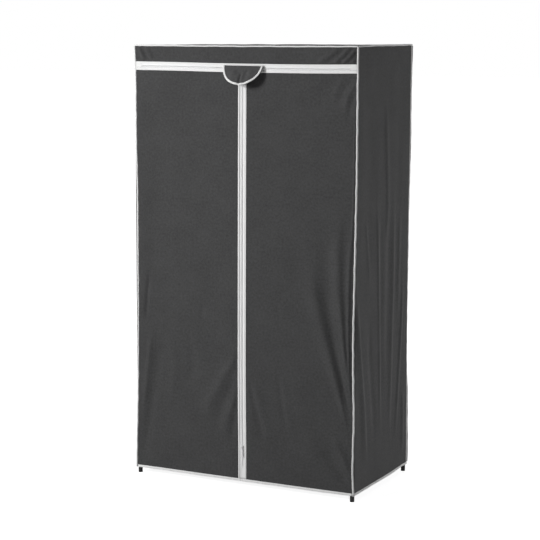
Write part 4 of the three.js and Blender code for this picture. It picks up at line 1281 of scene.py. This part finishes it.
def plate_mesh(outlines, thickness, bevel):
    """A flat plate with rounded edges from closed outlines, the first its edge and the rest its holes."""
    curve = bpy.data.curves.new("outline", "CURVE")
    curve.dimensions = "2D"
    curve.fill_mode = "BOTH"
    curve.extrude = thickness / 2 - bevel
    curve.bevel_depth = bevel
    curve.bevel_resolution = 2
    curve.offset = -bevel
    for outline in outlines:
        spline = curve.splines.new("POLY")
        spline.points.add(len(outline) - 1)
        for point, (x, y) in zip(spline.points, outline):
            point.co = (x, y, 0, 1)
        spline.use_cyclic_u = True
    carrier = bpy.data.objects.new("outline", curve)
    bpy.context.scene.collection.objects.link(carrier)
    bpy.context.view_layer.update()
    made = bpy.data.meshes.new_from_object(carrier.evaluated_get(bpy.context.evaluated_depsgraph_get()))
    points = np.array([v.co for v in made.vertices], float)
    faces = [list(p.vertices) for p in made.polygons]
    bpy.data.objects.remove(carrier)
    bpy.data.curves.remove(curve)
    bpy.data.meshes.remove(made)
    return points, faces


# What differs between the sliders: the way the nose points, how the tab leans, and how far the level
# ones hang, which is between the zip's sag at the middle and at the end of their way.
SLIDER_NOSE = {"door": 1, "left": 1, "right": -1}
TAB_LEAN = {"door": 0.075, "left": 0.03, "right": 0.13}
LEVEL_SAG = {"left": 1.8 * MM, "right": 2 * MM}
# The level sliders' walls start above the teeth, because the chain sags past them.
LEVEL_CLEAR = 2.95
SLIDER_HALF, SLIDER_ROUND, SLIDER_TOP = 4.2 * MM, 2.2 * MM, 4.3 * MM
# Half a slider's plate and its wall: across as a share of its half width, and along in millimetres.
PLATE_NOSE = ((0.62, -6.4), (0.8, -5.6), (0.86, -1.5), (1, 1.6))
SLIDER_WALL = ((0.78, -5.6), (0.82, -1.5), (0.96, 1.6), (0.96, 4.2), (0.8, 5.8))
ARCH_UPRIGHT, ARCH_LEVEL = (3.0 * MM, 3.3, 0.6), (3.9 * MM, 4.4, 0.4)


def slider_shape(name, middle, base_y):
    """A slider about its middle: the plate, its two walls and the arch that holds the tab."""
    upright, nose, w = name == "door", SLIDER_NOSE[name], SLIDER_HALF
    clear = 0 if upright else LEVEL_CLEAR
    mirrored = (nose < 0) == upright

    def place(across, along, out):
        across, along, out = np.broadcast_arrays(across, along * nose, out)
        if upright:
            return np.stack([middle[0] + across, base_y - out, middle[2] + along], -1)
        return np.stack([middle[0] + along, base_y - out, middle[2] + across], -1)

    shape = Shape()
    right = [(a * w, b * MM) for a, b in PLATE_NOSE]
    left = [(-a, b) for a, b in right[::-1]]
    outline = left[-1:] + right + arc(w - SLIDER_ROUND, 4.2 * MM, SLIDER_ROUND, 0, 90, 5)
    outline += arc(-w + SLIDER_ROUND, 4.2 * MM, SLIDER_ROUND, 90, 180, 5) + left[:-1]
    points, faces = plate_mesh([outline], 1.3 * MM, 0.4 * MM)
    faces = [f[::-1] for f in faces] if mirrored else faces
    shape.add(place(points[:, 0], points[:, 1], SLIDER_TOP + points[:, 2]), faces)
    section = ((0.12, 0.4 + clear), (0.12, 4.4), (-0.5, 4.4), (-0.5, 0.7 + clear), (-1.1, 0.7 + clear),
               (-1.1, 0.2 + clear), (-0.2, 0.2 + clear))
    for hand in (-1, 1):
        rings = [[place(hand * (a * w + da * MM), b * MM, dz * MM) for da, dz in section] for a, b in SLIDER_WALL]
        add_sweep(shape, np.array(rings), flip=mirrored ^ (hand < 0))
    reach, rise, power = ARCH_UPRIGHT if upright else ARCH_LEVEL
    arch = []
    for t in np.linspace(0, 1, 13):
        angle = math.pi * t
        arch.append(place(0.0, -reach * math.cos(angle), (4.7 + rise * math.sin(angle) ** power) * MM))
    add_tube(shape, arch, 0.62 * MM, sides=10, up=(1, 0, 0) if upright else (0, 0, 1), squash=1.25)
    return shape


def tab_shape(name, low, high):
    """A pull tab inside its box: a plate with an eye, a raised pad and four ribs."""
    middle = (low + high) / 2
    half, foot, top = (high[0] - low[0]) / 2, low[2], high[2]
    head = half * (0.95 if name == "door" else 0.8)
    side = [(half, foot + half + 4 * MM), (half * 0.78, top - 9.5 * MM), (head, top - 7 * MM),
            (head, top - 1.2 * MM), (head * 0.76, top - 0.2 * MM)]
    outline = [(-x, y) for x, y in side[::-1]] + arc(0, foot + half, half, 180, 360, 11) + side
    eye_side = [(1.05 * MM, top - 1.35 * MM), (1.3 * MM, top - 2.2 * MM), (1.3 * MM, top - 5 * MM),
                (0.8 * MM, top - 5.8 * MM)]
    eye = [(-1.05 * MM, top - 1.35 * MM)] + eye_side + [(-x, y) for x, y in eye_side[:0:-1]]
    pad = arc(0, top - 13 * MM, half * 0.5, 0, 180, 7) + arc(0, foot + half, half * 0.62, 180, 360, 9)
    shape = Shape()

    def hung(points, y):
        x = middle[0] + points[:, 0] + (top - points[:, 1]) * TAB_LEAN[name]
        return np.stack([x, y - points[:, 2], points[:, 1]], -1)

    for outlines, thickness, bevel, y in (
        ([outline, eye], high[1] - low[1], 0.35 * MM, middle[1]), ([pad], 0.5 * MM, 0.2 * MM, low[1] - 0.02 * MM),
    ):
        points, faces = plate_mesh(outlines, thickness, bevel)
        shape.add(hung(points, y), faces)
    for step in range(4):
        rib = np.array([(s * half * 0.5, foot + (7 + 2.2 * step) * MM, 0.32 * MM) for s in (-1, -0.5, 0.5, 1)])
        add_tube(shape, hung(rib, low[1]), 0.22 * MM, sides=8)
    return shape


class WARDROBE_OT_sliders(Operator):
    """Make the zip sliders and their pull tabs"""
    bl_idname = "wardrobe.make_sliders"
    bl_label = "Sliders and tabs"

    def execute(self, context):
        for name in SLIDER_NOSE:
            low, high = span(f"zip_slider_{name}")
            middle = (low + high) / 2
            follow = (zip_bow(middle[2]), 0, 0) if name == "door" else (0, 0, -LEVEL_SAG[name])
            shape = slider_shape(name, middle + follow, high[1])
            finish_piece(shape, f"slider_{name}", f"{name}_slider", ["zip_plastic"], [f"zip_slider_{name}"])
            low, high = span(f"pull_tab_{name}")
            shape = tab_shape(name, low + follow, high + follow)
            finish_piece(shape, f"tab_{name}", f"{name}_tab", ["zip_plastic"], [f"pull_tab_{name}"])
        return {"FINISHED"}


# The flap: half an ellipse that rolls out from its seam and leans away from the doors.
FLAP_HALF_WIDTH, FLAP_LENGTH, FLAP_OFFSET = 80 * MM, 84 * MM, 8 * MM
FLAP_SEAM_Y, FLAP_SEAM_Z = span("zip_flap")[1][1:]
FLAP_REACH, FLAP_ROLL, FLAP_LEAN = 4 * MM, 7 * MM, math.radians(30)
FLAP_INSET, FLAP_CURL = 4.2 * MM, 3.5 * MM
FLAP_BINDING_SECTION = ((0.0, 0.0), (0.25, 0.75), (1.1, 1.15), (5.6, 1.1), (6.7, 0.8), (7.0, 0.3))
# Folds of the flap: height, place across, width, then where it starts and ends down the cloth, in millimetres.
FLAP_FOLDS = (
    (-2.8, 1, 4, 22, 90), (2.2, -9, 8, 22, 90), (4.0, -30, 16, 12, 90), (1.2, 9, 6, 24, 90),
    (1.8, 10, 8, 10, 30), (-2.0, 20, 8, 8, 44), (2.2, 36, 12, 10, 60), (-1.2, -14, 7, 10, 36),
)
FLAP_FOLD_FADE, FLAP_CURL_REACH = 0.012, 0.03


def flap_place(across, down, lift=0.0):
    """A place on the flap: its distance across and down the cloth from the seam, and out of it."""
    roll_angle = math.pi / 2 - FLAP_LEAN
    roll_length = FLAP_ROLL * roll_angle
    turned = np.clip((down - FLAP_REACH) / roll_length, 0, 1) * roll_angle
    past = np.maximum(0, down - FLAP_REACH - roll_length)
    for height, middle, width, top, foot in FLAP_FOLDS:
        share = smooth((past - top * MM) / FLAP_FOLD_FADE) * smooth((foot * MM - past) / FLAP_FOLD_FADE + 0.5)
        lift = lift + height * MM * share * np.exp(-(((across - middle * MM) / (width * MM)) ** 2))
    lift = lift - FLAP_CURL * smooth(past / FLAP_CURL_REACH) * (across / FLAP_HALF_WIDTH) ** 2
    out = np.minimum(down, FLAP_REACH) + FLAP_ROLL * np.sin(turned) + past * np.cos(turned) + lift * np.sin(turned)
    drop = FLAP_ROLL * (1 - np.cos(turned)) + past * np.sin(turned) - lift * np.cos(turned)
    seam = FLAP_SEAM_Z - band_sag(FLAP_OFFSET + across)
    return np.stack(np.broadcast_arrays(FLAP_OFFSET + across, FLAP_SEAM_Y - out, seam - drop), -1)


def flap_edge_place(inset, turn, lift):
    """A place near the flap's round edge, at an angle round it."""
    return flap_place((FLAP_HALF_WIDTH - inset) * math.cos(turn), (FLAP_LENGTH - inset) * math.sin(turn), lift)


class WARDROBE_OT_flap(Operator):
    """Make the half-round flap over the zips, with its binding"""
    bl_idname = "wardrobe.make_flap"
    bl_label = "Flap"

    def execute(self, context):
        cloth, pitch = context.scene.wardrobe_cloth, context.scene.wardrobe_trim.stitch_pitch
        angles = np.radians(np.concatenate([np.linspace(0, 12, 10), np.linspace(14, 88, 26), [89.4]]))
        s, a = np.meshgrid(np.linspace(-1, 1, 41), angles)
        places = np.stack([s * FLAP_HALF_WIDTH * np.cos(a), FLAP_LENGTH * np.sin(a)], -1)
        faces = grid_faces(*s.shape)[:, ::-1].tolist()
        points = flap_place(s * (FLAP_HALF_WIDTH - FLAP_INSET) * np.cos(a), (FLAP_LENGTH - FLAP_INSET) * np.sin(a))
        shape = Shape().add(points, faces, 0, places)
        # The flap's cloth takes the lighter material, whose colour holds painted light.
        finish_cloth(shape, "flap_cloth", "flap", "zip_flap", cloth.thickness, "flap_cloth_painted_light")

        turns = np.radians(np.linspace(0.8, 179.2, 90))
        section = [*FLAP_BINDING_SECTION, *((o, -h - 0.5) for o, h in FLAP_BINDING_SECTION[::-1])]
        shape = Shape()
        add_sweep(shape, [[flap_edge_place(o * MM, t, h * MM) for o, h in section] for t in turns], flip=True)
        row, lifted = (
            np.array([flap_edge_place(5.4 * MM, t, height * MM) for t in turns]) for height in (1.15, 2.15)
        )
        add_stitches(shape, row, lifted - row, pitch)
        finish_piece(shape, "flap_binding", "flap", ["white_binding", "white_thread"], ["zip_flap_binding"])
        return {"FINISHED"}


def tube_profile(radius, wall, length):
    """A tube's wall with its rounded ends, as (radius, height) about its middle."""
    half, r, bore = length / 2, 0.25 * MM, radius - wall
    return [
        (bore + r, -half), (radius - r, -half), (radius, -half + r), (radius, half - r),
        (radius - r, half), (bore + r, half), (bore, half - r), (bore, -half + r),
    ]


class WARDROBE_OT_tubes(Operator):
    """Make the steel posts, rails and hanging rail"""
    bl_idname = "wardrobe.make_tubes"
    bl_label = "Tubes"

    def execute(self, context):
        wall, crease = 0.9 * MM, math.radians(40)
        sides = context.scene.wardrobe_frame.sides
        names = [f"{half}_post_{corner}" for half in ("lower", "upper") for corner in CORNERS]
        walls = ("front", "back", "left", "right")
        names += [f"{level}_rail_{side}" for level in ("bottom", "top") for side in walls]
        for node in names + ["hanging_rail"]:
            low, high = span(node)
            size = high - low
            axis = int(np.argmax(size))
            shape = Shape()
            add_lathe(shape, tube_profile(min(size) / 2, wall, size[axis]), (low + high) / 2, "xyz"[axis], sides)
            tube = finish_piece(shape, f"steel_{node}", BODY, ["painted_steel"], [node])
            tube.data.set_sharp_from_angle(angle=crease)
        return {"FINISHED"}


class WARDROBE_OT_fittings(Operator):
    """Make the moulded corner fittings, post sleeves and rail holders"""
    bl_idname = "wardrobe.make_fittings"
    bl_label = "Fittings"

    def execute(self, context):
        for node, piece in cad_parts.items():
            if "fitting" in node or "coupler" in node or node.startswith("rail_holder"):
                piece.data.materials.clear()
                piece.data.materials.append(bpy.data.materials["moulded_plastic"])
                bevel = piece.modifiers.new("soft edges", "BEVEL")
                bevel.width = 0.35 * MM
                bevel.segments = 2
                bevel.limit_method = "ANGLE"
                bevel.angle_limit = math.radians(35)
                bevel.harden_normals = True
        return {"FINISHED"}


def seen_directly(tree):
    """A mask that is 1 for what the camera sees itself, in a reflection or through something."""
    path = tree.nodes.new("ShaderNodeLightPath")
    seen = maths(tree, "MAXIMUM", path.outputs["Is Camera Ray"], path.outputs["Is Glossy Ray"])
    return maths(tree, "MAXIMUM", seen, path.outputs["Is Transmission Ray"])


class WARDROBE_OT_studio(Operator):
    """Make the floor, sky, lamps and camera"""
    bl_idname = "wardrobe.make_studio"
    bl_label = "Studio"

    def execute(self, context):
        settings = context.scene.wardrobe_studio
        scene = context.scene
        scene.view_settings.view_transform = "Standard"
        self.make_floor(scene)
        self.make_sky(scene, settings.sky)

        middle = (0, 0, 0.85)
        for name, power, place, size, aim in (
            ("key_light", settings.key_power, (-2.1, -3.3, 2.35), (1.0, 1.0), middle),
            ("side_light", settings.side_power, (2.6, 2.3, 0.35), (1.0, 1.0), (0.45, 0, 0.5)),
            ("back_light", settings.back_power, (-2.0, 3.2, 2.2), (2.0, 1.8), middle),
        ):
            light = bpy.data.lights.new(name, "AREA")
            light.energy = power
            light.shape = "RECTANGLE"
            light.size, light.size_y = size
            holder = bpy.data.objects.new(name, light)
            holder.location = place
            holder.rotation_euler = (Vector(aim) - Vector(place)).to_track_quat("-Z", "Y").to_euler()
            scene.collection.objects.link(holder)

        data = bpy.data.cameras.new("camera")
        data.sensor_width = 36
        data.lens = settings.lens
        data.clip_start, data.clip_end = 0.1, 200
        data.shift_y = settings.shift
        camera = bpy.data.objects.new("camera", data)
        camera.location = (2.7155, -5.3677, 1.630)
        turn = Matrix.Rotation(settings.yaw, 3, "Z") @ Matrix.Rotation(math.pi / 2 - settings.pitch, 3, "X")
        camera.rotation_euler = (turn @ Matrix.Rotation(settings.roll, 3, "Z")).to_euler()
        scene.collection.objects.link(camera)
        scene.camera = camera
        return {"FINISHED"}

    def make_floor(self, scene):
        """White paper that shows the wardrobe's shadow and is as bright as the backdrop elsewhere."""
        reach, paper_grey, shade_fade, shade = 60.0, 0.6, 0.28, 0.1
        material, tree, shader = new_material("studio_floor")
        tree.nodes.remove(shader)
        paper = tree.nodes.new("ShaderNodeBsdfDiffuse")
        paper.inputs["Color"].default_value = (paper_grey, paper_grey, paper_grey, 1)
        glow = tree.nodes.new("ShaderNodeEmission")
        glow.inputs["Color"].default_value = (1, 1, 1, 1)
        far = tree.nodes.new("ShaderNodeVectorMath")
        far.operation = "LENGTH"
        tree.links.new(tree.nodes.new("ShaderNodeNewGeometry").outputs["Position"], far.inputs[0])
        near = maths(tree, "MULTIPLY", far.outputs["Value"], shade_fade)
        near = maths(tree, "SUBTRACT", 1.0, near, clamp=True)
        level = maths(tree, "SUBTRACT", 1.0, maths(tree, "MULTIPLY", near, shade))
        tree.links.new(maths(tree, "MULTIPLY", seen_directly(tree), level), glow.inputs["Strength"])
        both = tree.nodes.new("ShaderNodeAddShader")
        tree.links.new(paper.outputs[0], both.inputs[0])
        tree.links.new(glow.outputs[0], both.inputs[1])
        tree.links.new(both.outputs[0], tree.nodes["Material Output"].inputs["Surface"])
        mesh = bpy.data.meshes.new("studio_floor")
        corners = [(x * reach, y * reach, 0) for x, y in ((-1, -1), (1, -1), (1, 1), (-1, 1))]
        mesh.from_pydata(corners, [], [(0, 1, 2, 3)])
        mesh.materials.append(material)
        floor = bpy.data.objects.new("studio_floor", mesh)
        scene.collection.objects.link(floor)

    def make_sky(self, scene, strength):
        """White where it is seen, and otherwise a soft light that is strongest from above."""
        horizon = 0.35
        world = bpy.data.worlds.new("studio_sky")
        scene.world = world
        world.use_nodes = True
        tree = world.node_tree
        background = tree.nodes["Background"]
        background.inputs["Color"].default_value = (1, 1, 1, 1)
        seen = seen_directly(tree)
        parts = tree.nodes.new("ShaderNodeSeparateXYZ")
        tree.links.new(tree.nodes.new("ShaderNodeTexCoord").outputs["Generated"], parts.inputs[0])
        above = maths(tree, "MAXIMUM", parts.outputs["Z"], 0.0)
        sky = maths(tree, "ADD", maths(tree, "MULTIPLY", above, strength), horizon * strength)
        unseen = maths(tree, "MULTIPLY", maths(tree, "SUBTRACT", 1.0, seen), sky)
        tree.links.new(maths(tree, "ADD", seen, unseen), background.inputs["Strength"])


class WARDROBE_OT_declare(Operator):
    """Read the sizes of the side, back and door panels, and use them for nothing more"""
    bl_idname = "wardrobe.declare_cloth"
    bl_label = "Cloth sizes"

    def execute(self, context):
        side_low, side_high = span("side_panel_right")
        depth, width = side_high[1] - side_low[1], span("back_panel")[1][0] * 2
        for side in HANDS:
            low, high = span(f"door_panel_{side}")
        return {"FINISHED"}


class WARDROBE_PT_panel(Panel):
    """Steps that build the wardrobe, and the sizes and colours they use"""
    bl_idname = "WARDROBE_PT_panel"
    bl_label = "Fabric wardrobe"
    bl_space_type = "VIEW_3D"
    bl_region_type = "UI"
    bl_category = "Wardrobe"

    def draw(self, context):
        for step in STEPS:
            self.layout.operator(step.bl_idname)
        for group in SETTINGS:
            settings = getattr(context.scene, group)
            box = self.layout.box()
            for name in settings.__annotations__:
                box.prop(settings, name)


SETTINGS = {
    "wardrobe_cloth": WardrobeCloth,
    "wardrobe_trim": WardrobeTrim,
    "wardrobe_frame": WardrobeFrame,
    "wardrobe_studio": WardrobeStudio,
}
STEPS = (
    WARDROBE_OT_materials, WARDROBE_OT_doors, WARDROBE_OT_cover, WARDROBE_OT_piping, WARDROBE_OT_hems,
    WARDROBE_OT_tapes, WARDROBE_OT_chains, WARDROBE_OT_sliders, WARDROBE_OT_flap, WARDROBE_OT_tubes,
    WARDROBE_OT_fittings, WARDROBE_OT_declare, WARDROBE_OT_studio,
)


def register():
    for cls in (*SETTINGS.values(), *STEPS, WARDROBE_PT_panel):
        bpy.utils.register_class(cls)
    for name, cls in SETTINGS.items():
        setattr(bpy.types.Scene, name, PointerProperty(type=cls))


def unregister():
    for name in SETTINGS:
        delattr(bpy.types.Scene, name)
    for cls in (WARDROBE_PT_panel, *reversed(STEPS), *SETTINGS.values()):
        bpy.utils.unregister_class(cls)


def main():
    register()
    for step in STEPS:
        group, name = step.bl_idname.split(".")
        getattr(getattr(bpy.ops, group), name)()


if __name__ == "__main__":
    main()
